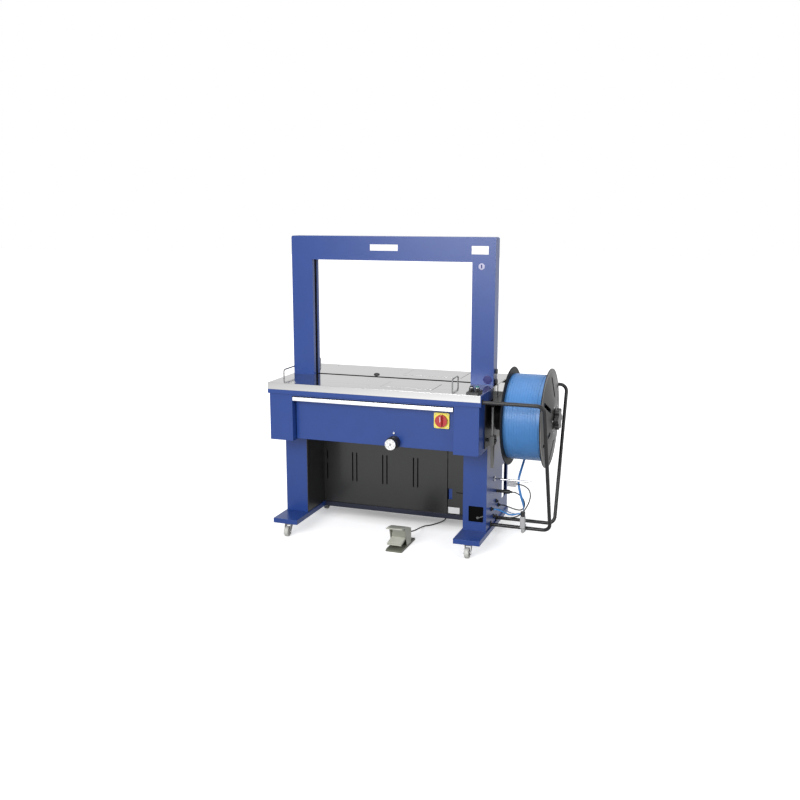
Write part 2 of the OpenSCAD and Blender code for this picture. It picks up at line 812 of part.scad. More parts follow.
// Revolves a profile given as distance from the axle and place along it
module turned() {
    machine() translate([0, 0, reel_z]) rotate([0, 90, 0]) rotate_extrude() children();
}
module inner_flange() {
    color(charcoal) turned() {
        translate([axle_r + fit, hub_x0]) square([hub_r - axle_r - fit, hub_x1 - hub_x0]);
        translate([hub_r - 1, flange_x]) square([flange_r - flange_t / 2 - hub_r + 1, flange_t]);
        translate([flange_r - flange_t / 2, flange_x + flange_t / 2]) circle(flange_t / 2 - 0.01);
        translate([drum_r - drum_t - core_fit, flange_x + flange_t - 1]) square([drum_t, coil_w - 8]);
        translate([brake_bore, brake_x0]) square([brake_r - brake_bore, flange_x - brake_x0 + 1]);
    }
}
module strap_coil() {
    color(strap_blue) turned() translate([drum_r, coil_x0]) square([core_r - drum_r, coil_w]);
}
function winding_point(a) = let (x = wind_x0 + wind_pitch * a / 360)
    [x, -wind_mid_r * cos(a), reel_z + wind_mid_r * sin(a)];
wind_path = [for (k = [0:wind_turns * wind_rings]) winding_point(360 * k / wind_rings)];
wind_skin = [for (k = [0:len(wind_path) - 1]) let (a = 360 * k / wind_rings)
    ring(wind_path[k], unit([wind_pitch / (2 * PI * wind_mid_r), sin(a), cos(a)]), [1, 0, 0],
        strap_outline(strap_w, strap_t))];
echo(strap_winding_least_gap = min([for (k = [0:len(wind_path) - 1 - wind_rings])
    norm(wind_skin[k][0] - wind_skin[k + wind_rings][3])]));
module strap_winding() { color(strap_blue) machine() skin(wind_skin); }
module outer_flange() {
    color(charcoal) difference() {
        turned() polygon([[flange_r - rim_w, rim_x], [flange_r, rim_x], [flange_r, rim_x + rim_t],
            [flange_r - rim_w, rim_x + rim_t], [dish_r, dish_x + rim_t], [hub_r + fit, dish_x + rim_t],
            [hub_r + fit, dish_x - seat_l], [hub_r + seat_w, dish_x - seat_l],
            [hub_r + seat_w, dish_x], [dish_r, dish_x]]);
        machine() for (a = [0:60:300]) translate([rim_x - 1, 0, reel_z]) rotate([a, 0, 0])
            extrude_x(0, dish_depth + hub_lip) vent(0, drum_r + 5, 22, flange_r - drum_r - 42);
    }
}
module hub_nut() {
    color(black) machine() translate([nut_x0, 0, reel_z]) rotate([90, 0, 90]) difference() {
        linear_extrude(nut_x1 - nut_x0) {
            circle(nut_r - lobe_r + 1);
            for (a = [0:60:300]) rotate(a) translate([nut_r - lobe_r, 0]) circle(lobe_r);
        }
        translate([0, 0, -1]) cylinder(r = axle_r + fit, h = nut_x1 - nut_x0 - 1);
    }
}
module brake_lever() {
    color([0.55, 0.55, 0.55]) machine() difference() {
        union() {
            block([lever_x0, lever_y - lever_block / 2, lever_z - lever_block_h / 2],
                [lever_x1, lever_y + lever_block / 2, lever_z + lever_block_h / 2]);
            extrude_x(lever_x0 + 6, lever_x1 - 8) polygon([[lever_y - 6, lever_z], [lever_y + 6, lever_z],
                [lever_y + 6, shelf_z - 16], [lever_y - 6, shelf_z - 16]]);
            extrude_x(lever_x0 + 4, lever_x1 - 6) polygon([[lever_y - 16, lever_z],
                [lever_y - 2, lever_z - lever_l], [lever_y + 8, lever_z - lever_l], [lever_y + 16, lever_z]]);
        }
        rod_x(lever_pin_r + fit, lever_x0 - 1, lever_x1 + 1, lever_y, lever_z);
    }
}
// Bent tube from root_x beside the table out past the reel and back to the leg; side -1 is in front of the reel
module reel_tube(side, root_x) {
    color(black) machine() translate([tube_x, side * tube_top_y, tube_top_z])
        rotate([90 - side * tube_turn, 0, 0]) rotate(-90)
            bent_u(tube_span, tube_x - root_x, tube_x - side_x, tube_r, tube_bend);
}
module reel_frame_front() { reel_tube(-1, tx + side_t); }
module reel_frame_rear() { reel_tube(1, tx); }
module strap_guide() {
    color(steel) machine() {
        rod_x(guide_r, side_x, guide_x1, 0, guide_z);
        rod_x(2.5 * guide_r, side_x, side_x + 5, 0, guide_z);
        block([guide_block_x0, -guide_block_w / 2, guide_block_z0],
            [guide_block_x1, guide_block_w / 2, guide_block_z1]);
    }
}
module air_filter() {
    top = filter_low + filter_h + filter_cap_h;
    color([0.8, 0.8, 0.8]) machine() difference() {
        union() {
            block([filter_x - clamp_w / 2, -tube_low_y - clamp_r, tube_low_z - clamp_r],
                [filter_x + clamp_w / 2, -tube_low_y + clamp_r, tube_low_z + clamp_r]);
            block([filter_x - filter_w / 2, filter_y - filter_w / 2, filter_low],
                [filter_x + filter_w / 2, filter_y + filter_w / 2, top]);
            rod_z(bowl_r, tube_low_z - bowl_drop, filter_low + 1, filter_x, filter_y);
        }
        rod_x(tube_r + fit, filter_x - clamp_w, filter_x + clamp_w, -tube_low_y, tube_low_z);
    }
}

// Glands, sockets and free cords
module cable_glands() {
    color(black) machine() {
        for (g = [sensor_exit, power_exit, air_exit, spare_gland]) {
            rod_x(9, side_x, side_x + 6, g.x, g.y);
            rod_x(6, side_x + 5, gland_x, g.x, g.y);
        }
        rod_x(8, side_x, side_x + socket_l + 1, power_socket.x, power_socket.y);
        rod_x(11, side_x + socket_l, side_x + socket_l + plug_l - 12, power_socket.x, power_socket.y);
        rod_x(6, side_x + socket_l + plug_l - 13, side_x + socket_l + plug_l, power_socket.x, power_socket.y);
        rod_z(7, rail_top - floor_gland_l, rail_top, floor_gland.x, floor_gland.y);
        rod_y(6, hood_y1, hood_y1 + pedal_gland_l, pedal_gland.x, pedal_gland.y);
    }
}
module pedal_cable() { color(black) machine() tube(pedal_route, pedal_cable_r, 8); }
module sensor_cable() { color(black) machine() tube(sensor_route, lead_r, 8); }
module power_lead() { color(black) machine() tube(power_route, lead_r, 8); }
module air_tube() { color(strap_blue) machine() tube(air_route, air_r, 8); }
// Strap from the wound reel over the guide rod and into the leg, turning from flat to edge on its way
leave_r = coil_r + 1;
strap_route = [[693, leave_r * 0.747, reel_z - leave_r * 0.665], [688, 118, 478], [680, 66, 418],
    [672, 24, 366], [669, guide_r + 3, guide_z], [672, 6, 305], [682, 6, 262], [694, 8, 220],
    [698, 12, 190], [688, 18, 164], [664, 24, 152], [630, 30, 154], [600, 34, 161],
    [574, strap_inlet.x, strap_inlet.y], [side_x + 8, strap_inlet.x, strap_inlet.y],
    [side_x - 10, strap_inlet.x, strap_inlet.y]];
strap_turn = [0, 0, 0, 0, 0, 0, 15, 45, 75, 90, 90, 90, 90, 90, 90, 90];
module strap_run() {
    p = smooth_route(strap_route, 2);
    turn = smooth_route(strap_turn, 2);
    color(strap_blue) machine() skin([for (i = [0:len(p) - 1])
        ring(p[i], heading(p, i), [cos(turn[i]), sin(turn[i]), 0], strap_outline(strap_w, strap_t))]);
}

// Strapping head
module head_frame() {
    color(charcoal) machine() difference() {
        union() {
            for (side = [-1, 1]) sided(side)
                block([head_x, head_y0, floor_top], [head_x + head_plate, head_y1, head_top]);
            block([-head_x, head_y0, floor_top], [head_x, head_y1, floor_top + head_plate]);
            for (z = [floor_top + 40, head_top - 45]) rod_x(8, -head_x - 1, head_x + 1, head_y1 - 20, z);
            rod_x(feed_pin_r, -head_x - head_plate - roller_w - 6, -head_x - 1, feed_y, feed_z);
            rod_x(pinch_pin_r, -head_x - head_plate - roller_w - 6, -head_x - 1, feed_y, pinch_z);
        }
        rod_x(cam_shaft_r + fit, -head_x - head_plate - 1, head_x + head_plate + 1, cam_y, cam_z);
    }
}
module gear_motor() {
    x0 = head_x + head_plate;
    color(charcoal) machine() difference() {
        union() {
            block([x0, cam_y - gearbox_w / 2, cam_z - gearbox_w / 2],
                [x0 + gearbox_l, cam_y + gearbox_w / 2, cam_z + gearbox_w / 2]);
            rod_x(motor_r, x0 + gearbox_l - 1, x0 + gearbox_l + motor_l, cam_y, cam_z);
        }
        rod_x(cam_shaft_r + fit, x0 - 1, x0 + shaft_end + 2, cam_y, cam_z);
    }
}
module cam_shaft() {
    color(steel) machine() {
        rod_x(cam_shaft_r, -head_x - 2 * head_plate, head_x + head_plate + shaft_end, cam_y, cam_z);
        for (k = [0:3]) let (x = (k - 1.5) * cam_step)
            rod_x(cam_r, x - cam_t / 2, x + cam_t / 2,
                cam_y + cam_offset * cos(90 * k), cam_z + cam_offset * sin(90 * k));
    }
}
// Roller on a pin beside the head's left plate
module roller(r, pin_r, z) {
    x1 = -head_x - head_plate - 3;
    color("dimgray") machine() difference() {
        rod_x(r, x1 - roller_w, x1, feed_y, z);
        rod_x(pin_r + fit, x1 - roller_w - 1, x1 + 1, feed_y, z);
    }
}
module feed_wheel() { roller(feed_r, feed_pin_r, feed_z); }
module pinch_wheel() { roller(pinch_r, pinch_pin_r, pinch_z); }
module anvil_slide() {
    color(steel) machine()
        block([-head_x - head_plate, -anvil_w / 2, head_top + gap],
            [head_x + head_plate, anvil_w / 2, table_h - table_t - gap]);
}

// Foot pedal
module pedal_base() {
    color([0.4, 0.42, 0.36]) machine() {
        extrude_x(pedal_x, pedal_x1) polygon([[pedal_y0, 0], [pedal_y1, 0], [pedal_y1, pedal_base_h],
            [pedal_y0 + base_nose, pedal_base_h], [pedal_y0, pedal_base_h / 2]]);
        block([pedal_x + hood_t + 2, hood_y1 - hood_t - 1 - pedestal_l, pedal_base_h - 1],
            [pedal_x1 - hood_t - 2, hood_y1 - hood_t - 1, pedestal_h]);
    }
}
// Side view of the hood: a wall that leans forward, with a visor over the treadle
module hood_side() {
    polygon([[hood_y1, pedal_base_h], [hood_y1, hood_back_h], [hood_knee, hood_knee_h],
        [pedal_y0 + 2, pedal_h], [pedal_y0 + 2, pedal_h - visor_t],
        [hood_high, hood_knee_h - 1], [hood_low, pedal_base_h]]);
}
module pedal_hood() {
    color([0.62, 0.63, 0.57]) machine() {
        difference() {
            intersection() {
                extrude_x(pedal_x, pedal_x1) hood_side();
                rod_y(crown_r, pedal_y0, pedal_y1, (pedal_x + pedal_x1) / 2, pedal_h - crown_r);
            }
            extrude_x(pedal_x + hood_t, pedal_x1 - hood_t) polygon([[hood_y1 - hood_t, pedal_base_h - 1],
                [hood_y1 - hood_t, hood_back_h - visor_t], [hood_knee, hood_knee_h - visor_t],
                [pedal_y0, pedal_h - visor_t], [pedal_y0, pedal_base_h - 1]]);
        }
        rod_x(pedal_pin_r, pedal_x + hood_t - 1, pedal_x1 - hood_t + 1, pedal_pin_y, pedal_pin_z);
    }
}
module pedal_treadle() {
    x0 = pedal_x + hood_t + treadle_gap;
    x1 = pedal_x1 - hood_t - treadle_gap;
    hub_low = pedal_pin_z - pedal_hub_r + 2;
    color([0.72, 0.73, 0.66]) machine() difference() {
        union() {
            extrude_x(x0, x1) polygon([[treadle_nose, hub_low], [treadle_nose, pedal_pin_z - 2],
                [treadle_nose + 4, pedal_pin_z + 1], [treadle_back, treadle_rise],
                [treadle_back + treadle_t, riser_h], [treadle_back + 2 * treadle_t - 1, riser_h],
                [treadle_back + treadle_t + 3, treadle_rise - 2], [pedal_pin_y, pedal_pin_z + pedal_hub_r - 2],
                [pedal_pin_y, hub_low], [treadle_back, treadle_rise - treadle_t - 1],
                [treadle_nose + 8, hub_low]]);
            rod_x(pedal_hub_r, x0, x1, pedal_pin_y, pedal_pin_z);
        }
        rod_x(pedal_pin_r + fit, pedal_x, pedal_x1, pedal_pin_y, pedal_pin_z);
    }
}

// Casters under the ends of the feet
module at_caster(side, end) { machine() translate([side * leg_mid, end * caster_y, 0]) children(); }
module caster_fork(side, end) {
    color(steel) at_caster(side, end) {
        difference() {
            rod_z(swivel_r, swivel_top - swivel_h, swivel_top, 0, 0);
            rod_z(stem_r + fit, swivel_top - swivel_h - 1, swivel_top + 1, 0, 0);
        }
        for (s = [-1, 1]) sided(s) extrude_x(fork_in, fork_in + fork_t) {
            polygon([[-trail - 9, wheel_r], [9 - trail, wheel_r], [14, swivel_top - 8], [-16, swivel_top - 8]]);
            translate([-14, swivel_top - 9]) square([28, 6]);
            translate([-trail, wheel_r]) circle(9);
        }
        rod_x(caster_axle_r, -fork_in - fork_t, fork_in + fork_t, -trail, wheel_r);
    }
}
module caster_wheel(side, end) {
    color([0.7, 0.7, 0.68]) at_caster(side, end) translate([0, -trail, wheel_r]) rotate([0, 90, 0])
        rotate_extrude() polygon([[caster_axle_r + fit, -wheel_w / 2 - 1], [10, -wheel_w / 2 - 1],
            [10, 4 - wheel_w / 2],
            [wheel_r - 6, 4 - wheel_w / 2], [wheel_r - 6, -wheel_w / 2], [wheel_r - 3, -wheel_w / 2],
            [wheel_r, 3 - wheel_w / 2], [wheel_r, wheel_w / 2 - 3], [wheel_r - 3, wheel_w / 2],
            [wheel_r - 6, wheel_w / 2], [wheel_r - 6, wheel_w / 2 - 4],
            [10, wheel_w / 2 - 4], [10, wheel_w / 2 + 1], [caster_axle_r + fit, wheel_w / 2 + 1]]);
}
module caster_fork_fl() { caster_fork(-1, -1); }
module caster_fork_fr() { caster_fork(1, -1); }
module caster_fork_rl() { caster_fork(-1, 1); }
module caster_fork_rr() { caster_fork(1, 1); }
module caster_wheel_fl() { caster_wheel(-1, -1); }
module caster_wheel_fr() { caster_wheel(1, -1); }
module caster_wheel_rl() { caster_wheel(-1, 1); }
module caster_wheel_rr() { caster_wheel(1, 1); }

left_foot();
right_foot();
left_leg();
right_leg();
bottom_rail();
lower_cover();
strap_magazine();
housing();
table_front();
table_rear();
arch_front();
arch_rear();
strap_track();
arch_latches();
table_loops();
console();
reel_bracket();
reel_frame_front();
reel_frame_rear();
strap_guide();
air_filter();
cable_glands();
head_frame();
gear_motor();
pedal_base();
pedal_hood();
pedal_cable();
sensor_cable();
power_lead();
air_tube();
strap_run();
front_flap();
flap_handle();
switch_plate();
regulator();
pressure_gauge();
gauge_needle();
switch_knob();
magazine_door();
inner_flange();
strap_coil();
strap_winding();
outer_flange();
hub_nut();
brake_lever();
pedal_treadle();
start_button();
reset_button();
cam_shaft();
feed_wheel();
pinch_wheel();
anvil_slide();
caster_fork_fl();
caster_fork_fr();
caster_fork_rl();
caster_fork_rr();
caster_wheel_fl();
caster_wheel_fr();
caster_wheel_rl();
caster_wheel_rr();
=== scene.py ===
"""Looks of the arch strapping machine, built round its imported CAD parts.

Places are given in machine millimetres, as in the CAD source: x to the right and y to the back from the
middle of the arch, z up from the floor. `at` turns them into metres in the frame that the CAD parts use.
"""

from __future__ import annotations

import json
import logging
from dataclasses import dataclass, field
from enum import Enum
from functools import cache
from math import atan2, cos, pi, radians, sin
from typing import ClassVar, Iterable, Sequence

import bmesh
import bpy
from mathutils import Matrix, Vector

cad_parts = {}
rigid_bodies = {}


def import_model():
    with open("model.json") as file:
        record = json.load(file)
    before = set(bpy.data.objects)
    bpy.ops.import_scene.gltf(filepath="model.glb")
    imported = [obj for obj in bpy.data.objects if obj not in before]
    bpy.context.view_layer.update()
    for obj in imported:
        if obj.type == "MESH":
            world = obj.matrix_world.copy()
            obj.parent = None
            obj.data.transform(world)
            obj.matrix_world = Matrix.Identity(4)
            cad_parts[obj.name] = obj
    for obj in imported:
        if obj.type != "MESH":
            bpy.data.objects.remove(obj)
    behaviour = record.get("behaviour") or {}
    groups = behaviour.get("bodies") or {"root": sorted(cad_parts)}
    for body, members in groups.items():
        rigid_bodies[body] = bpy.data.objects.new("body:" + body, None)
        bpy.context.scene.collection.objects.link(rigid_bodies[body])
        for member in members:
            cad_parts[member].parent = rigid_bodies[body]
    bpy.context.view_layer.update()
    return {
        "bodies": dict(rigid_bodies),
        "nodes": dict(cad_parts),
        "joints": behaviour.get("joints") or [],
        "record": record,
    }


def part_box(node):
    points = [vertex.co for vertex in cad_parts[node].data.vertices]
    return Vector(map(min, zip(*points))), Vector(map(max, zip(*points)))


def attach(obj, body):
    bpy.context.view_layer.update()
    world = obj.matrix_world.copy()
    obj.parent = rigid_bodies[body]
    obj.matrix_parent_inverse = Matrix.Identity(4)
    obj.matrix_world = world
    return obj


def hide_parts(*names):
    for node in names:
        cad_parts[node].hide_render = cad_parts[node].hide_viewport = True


LOG = logging.getLogger("strapping_machine")
MM = 0.001
TIP = 0.01  # Radius at which an open profile ends beside its axis.
Spot = tuple[float, float]
Point = tuple[float, float, float]
Patch = tuple[float, float, float, float]
Spots = Sequence[Spot]
Points = Sequence[Point]
Rings = list[list[Vector]]
Socket = bpy.types.NodeSocket
Feeds = dict[str | int, object]


class Machine:
    """The machine's own origin in the CAD frame: on the floor, below the middle of the arch."""

    origin: ClassVar[Vector] = Vector()

    @classmethod
    def locate(cls) -> None:
        """Takes the origin from the two arch covers."""
        low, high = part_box("arch_front")
        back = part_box("arch_rear")[1]
        cls.origin = Vector(((low.x + high.x) / 2, (low.y + back.y) / 2, 0.0))


def at(x: float, y: float, z: float) -> Vector:
    """Turns a place in machine millimetres into metres in the CAD frame."""
    return Vector((x, y, z)) * MM + Machine.origin


@dataclass(frozen=True)
class Box:
    """Box of a CAD node, in machine millimetres."""

    low: Vector
    high: Vector

    @classmethod
    def of(cls, node: str) -> Box:
        """Returns the box of a CAD node."""
        low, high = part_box(node)
        return cls((low - Machine.origin) / MM, (high - Machine.origin) / MM)

    @property
    def mid(self) -> Vector:
        """The middle of the box."""
        return (self.low + self.high) / 2


def put(name: str, data: bpy.types.ID) -> bpy.types.Object:
    """Returns a new object of the scene that holds a mesh, a lamp or a camera."""
    bpy.context.scene.collection.objects.link(item := bpy.data.objects.new(name, data))
    return item


def circle(count: int, start: float = 0.0) -> list[Spot]:
    """Returns a number of points of a circle of radius 1, from a start angle in degrees."""
    angles = [radians(start + 360 / count * k) for k in range(count)]
    return [(cos(a), sin(a)) for a in angles]


class Axis(Enum):
    """Direction in which a turned shape points, as axis and angle of the turn that takes z there."""

    X = ("Y", 90)
    Y = ("X", -90)
    Z = ("Z", 0)

    def turn(self) -> Matrix:
        """Returns the rotation that takes the local z axis to this axis."""
        about, degrees = self.value
        return Matrix.Rotation(radians(degrees), 4, about)


class Grain(Enum):
    """Fine structure of a surface, as stretch of its noise along x, y and z."""

    EVEN = (1.0, 1.0, 1.0)
    ALONG_X = (0.02, 1.0, 1.0)


@dataclass(frozen=True)
class Graph:
    """Adds nodes to a shader's node tree and wires them."""

    tree: bpy.types.NodeTree

    def add(self, kind: str, out: str, feeds: Feeds, **settings: object) -> Socket:
        """Adds a node.

        Args:
            kind: Type of the node, without its common beginning.
            out: Name of the output to use.
            feeds: A value or another node's socket for each input.
            **settings: Settings of the node itself.

        Returns:
            That output.
        """
        node = self.tree.nodes.new(f"ShaderNode{kind}")
        for name, value in settings.items():
            setattr(node, name, value)
        self.feed(node.name, feeds)
        return node.outputs[out]

    def feed(self, name: str, feeds: Feeds) -> None:
        """Sets or links inputs of a node.

        Args:
            name: Name of the node.
            feeds: A value or another node's socket for each input.
        """
        inputs = self.tree.nodes[name].inputs
        for key, value in feeds.items():
            if isinstance(value, Socket):
                self.tree.links.new(value, inputs[key])
            else:
                inputs[key].default_value = value


@dataclass(frozen=True)
class Finish:
    """A surface finish, made once as a procedural material."""

    name: str
    slot: str
    color: Point
    roughness: float
    metallic: float = 0.0
    grain: Grain = Grain.EVEN
    scale: float = 300.0
    bump: float = 0.05
    shade: float = 0.08
    coat: float = 0.0
    clear: float = 0.0
    specular: float = 0.5
    coat_roughness: ClassVar[float] = 0.06
    coarse: ClassVar[float] = 0.035
    relief: ClassVar[float] = 0.0006

    @cache
    def material(self) -> bpy.types.Material:
        """Makes the material, with tone, roughness and relief from noise, the first time it is asked for.

        Returns:
            The material.
        """
        material = bpy.data.materials.new(self.name)
        material.use_nodes = True
        graph = Graph(material.node_tree)
        place = graph.add("TexCoord", "Object", {})
        grain = graph.add("Mapping", "Vector", {"Vector": place, "Scale": self.grain.value})
        fine = graph.add("TexNoise", "Fac", {"Vector": grain, "Scale": self.scale, "Detail": 4.0})
        broad = graph.add("TexNoise", "Fac", {"Vector": grain, "Scale": self.scale * self.coarse,
                                              "Detail": 2.0})
        tone = graph.add("Mix", "Result", {"Factor": broad, "A": self._tone(-1), "B": self._tone(1)},
                         data_type="RGBA")
        rough = graph.add("MapRange", "Result", {"Value": fine, "To Min": max(0.02, self.roughness * 0.8),
                                                 "To Max": min(1.0, self.roughness * 1.2)})
        bump = graph.add("Bump", "Normal", {"Strength": self.bump, "Distance": self.relief,
                                            "Height": self._height(graph, fine)})
        graph.feed("Principled BSDF", {
            "Base Color": tone, "Roughness": rough, "Normal": bump, "Metallic": self.metallic,
            "Coat Weight": self.coat, "Coat Roughness": self.coat_roughness,
            "Specular IOR Level": self.specular, "Transmission Weight": self.clear})
        return material

    def _tone(self, sign: int) -> Patch:
        """Returns the colour's darker or lighter tone."""
        return (*(min(1.0, c * (1 + sign * self.shade)) for c in self.color), 1)

    def _height(self, graph: Graph, fine: Socket) -> Socket:
        """Returns the socket that gives the relief."""
        return fine


@dataclass(frozen=True)
class EmbossedFinish(Finish):
    """A finish with a pressed diamond pattern that follows the piece's own UV map, in metres."""

    pitch: float = 0.0016
    unit_wave: ClassVar[float] = 0.31

    def _height(self, graph: Graph, fine: Socket) -> Socket:
        """Makes two sets of slanting ridges.

        Args:
            graph: The material's nodes.
            fine: Fine noise, which isn't used here.

        Returns:
            The socket with the product of both sets.
        """
        place = graph.add("UVMap", "UV", {}, uv_map="along")
        ridges: Feeds = {}
        for slot, slant in enumerate((45, -45)):
            turn = graph.add("Mapping", "Vector", {"Vector": place, "Rotation": (0, 0, radians(slant))})
            ridges[slot] = graph.add("TexWave", "Fac", {"Vector": turn, "Scale": self.unit_wave / self.pitch})
        return graph.add("Math", "Value", ridges, operation="MULTIPLY")


BLUE = Finish("blue_powder_coat", "blue_paint", (0.014, 0.05, 0.232), 0.32, scale=420, specular=0.42)
NAVY = Finish("navy_powder_coat", "navy_paint", (0.007, 0.01, 0.026), 0.4, scale=420, specular=0.4)
GREY = Finish("dark_gloss_paint", "grey_paint", (0.015, 0.015, 0.015), 0.3, bump=0.04, coat=0.1)
FLANGE = Finish("flange_paint", "grey_paint", (0.027, 0.027, 0.026), 0.3, specular=0.14)
INNER_FLANGE = Finish("black_flange_paint", "black_paint", (0.009, 0.009, 0.009), 0.5, specular=0.12)
# Painted shade: a near-black finish that hardly reflects, put in slots, openings and gaps where there is only
# shade.
PAINTED_SHADE_BLACK = Finish("painted_shade_black", "black_plastic", (0.003, 0.003, 0.003), 0.85, bump=0.03, specular=0.05)
INDIGO = Finish("dark_indigo", "navy_paint", (0.022, 0.024, 0.14), 0.45, scale=420, specular=0.3)
BLACK = Finish("black_paint", "black_paint", (0.01, 0.01, 0.011), 0.36, specular=0.36)
LEVER = Finish("grey_lever_paint", "grey_paint", (0.1, 0.1, 0.097), 0.35, bump=0.06)
STEEL = Finish("brushed_stainless", "stainless", (0.49, 0.49, 0.49), 0.1, 1.0, Grain.ALONG_X, 900, 0.05, 0.12)
TURNED = Finish("turned_steel", "bright_steel", (0.42, 0.42, 0.43), 0.28, 1.0, scale=500)
ZINC = Finish("zinc_plate", "bright_steel", (0.2, 0.2, 0.205), 0.42, 1.0, scale=400)
CHROME = Finish("chrome", "chrome", (0.55, 0.55, 0.57), 0.08, 1.0, bump=0.01, shade=0.03)
WIRE = Finish("drawn_wire", "chrome", (0.2, 0.2, 0.205), 0.26, 1.0, bump=0.02, shade=0.05)
ALUMINIUM = Finish("anodised_aluminium", "aluminium", (0.8, 0.8, 0.83), 0.3, 0.85,
                   Grain.ALONG_X, 700, 0.04, 0.03)
GUIDE = Finish("grey_guide_plastic", "aluminium", (0.42, 0.42, 0.43), 0.42, bump=0.06, scale=500)
PLASTIC = Finish("black_plastic", "black_plastic", (0.013, 0.013, 0.014), 0.42, bump=0.1, scale=700)
STRAP = EmbossedFinish("blue_strap", "strap", (0.046, 0.197, 0.495), 0.36,
                       bump=0.25, scale=1100, shade=0.1, coat=0.04)
CORE = Finish("strap_core", "strap", (0.046, 0.197, 0.495), 0.35, bump=0.1, scale=600, shade=0.1)
YELLOW = Finish("yellow_plastic", "yellow_plastic", (0.88, 0.76, 0.12), 0.35, bump=0.06, scale=500)
RED = Finish("red_plastic", "red_plastic", (0.42, 0.012, 0.016), 0.28, bump=0.04, scale=500, coat=0.3)
TEAL = Finish("teal_plastic", "teal_plastic", (0.02, 0.2, 0.19), 0.3, bump=0.04, scale=500)
PEDAL = Finish("hammered_grey_paint", "pedal_paint", (0.4, 0.41, 0.35), 0.42, bump=0.3, scale=260)
PALE_RIB = Finish("pale_rubber", "pedal_paint", (0.55, 0.55, 0.49), 0.5, bump=0.1, scale=500)
DARK_PEDAL = Finish("dark_hammered_paint", "dark_pedal", (0.16, 0.167, 0.13), 0.48, bump=0.35, scale=260)
RUBBER = Finish("black_rubber", "rubber", (0.012, 0.012, 0.012), 0.5, bump=0.12, scale=600)
WHEEL = Finish("grey_rubber", "grey_rubber", (0.56, 0.56, 0.53), 0.5, bump=0.1, scale=400)
HOSE = Finish("blue_hose", "blue_tube", (0.05, 0.24, 0.58), 0.25, bump=0.03, scale=400)
CAST = Finish("painted_casting", "cast", (0.055, 0.058, 0.062), 0.5, bump=0.4, scale=240)
LOCK = Finish("pale_lock_plastic", "chrome", (0.4, 0.4, 0.56), 0.4, bump=0.03, scale=400, shade=0.03)
WHITE = Finish("white_enamel", "gauge_metal", (0.8, 0.8, 0.8), 0.35, bump=0.03, scale=400, shade=0.03)
GLASS = Finish("clear_glass", "", (0.97, 0.97, 0.97), 0.03, bump=0.005, scale=40, shade=0.01, clear=1.0)
BOWL = Finish("clear_bowl", "", (0.78, 0.8, 0.8), 0.12, bump=0.02, scale=60, shade=0.03, clear=0.75)
BRASS = Finish("brass", "", (0.62, 0.42, 0.16), 0.3, 1.0, scale=400)

CORNERS = ("fl", "fr", "rl", "rr")
SLOT_FINISH = {finish.slot: finish for finish in (
    BLUE, NAVY, GREY, BLACK, STEEL, PLASTIC, CHROME, ALUMINIUM, CAST, CORE, PEDAL, DARK_PEDAL, RUBBER, WHEEL,
    HOSE, YELLOW, RED, TEAL, WHITE, TURNED)}
NODE_FINISH = {
    "reel_bracket": BLACK, "outer_flange": FLANGE, "inner_flange": INNER_FLANGE, "brake_lever": LEVER,
    "table_loops": WIRE, **{f"caster_fork_{corner}": ZINC for corner in CORNERS}}


def finish_of(part: dict) -> Finish:
    """Returns the finish of a subpart of the record: that of its node, or else of its material slot."""
    return NODE_FINISH.get(part["node"], SLOT_FINISH[part["material_slot"]])


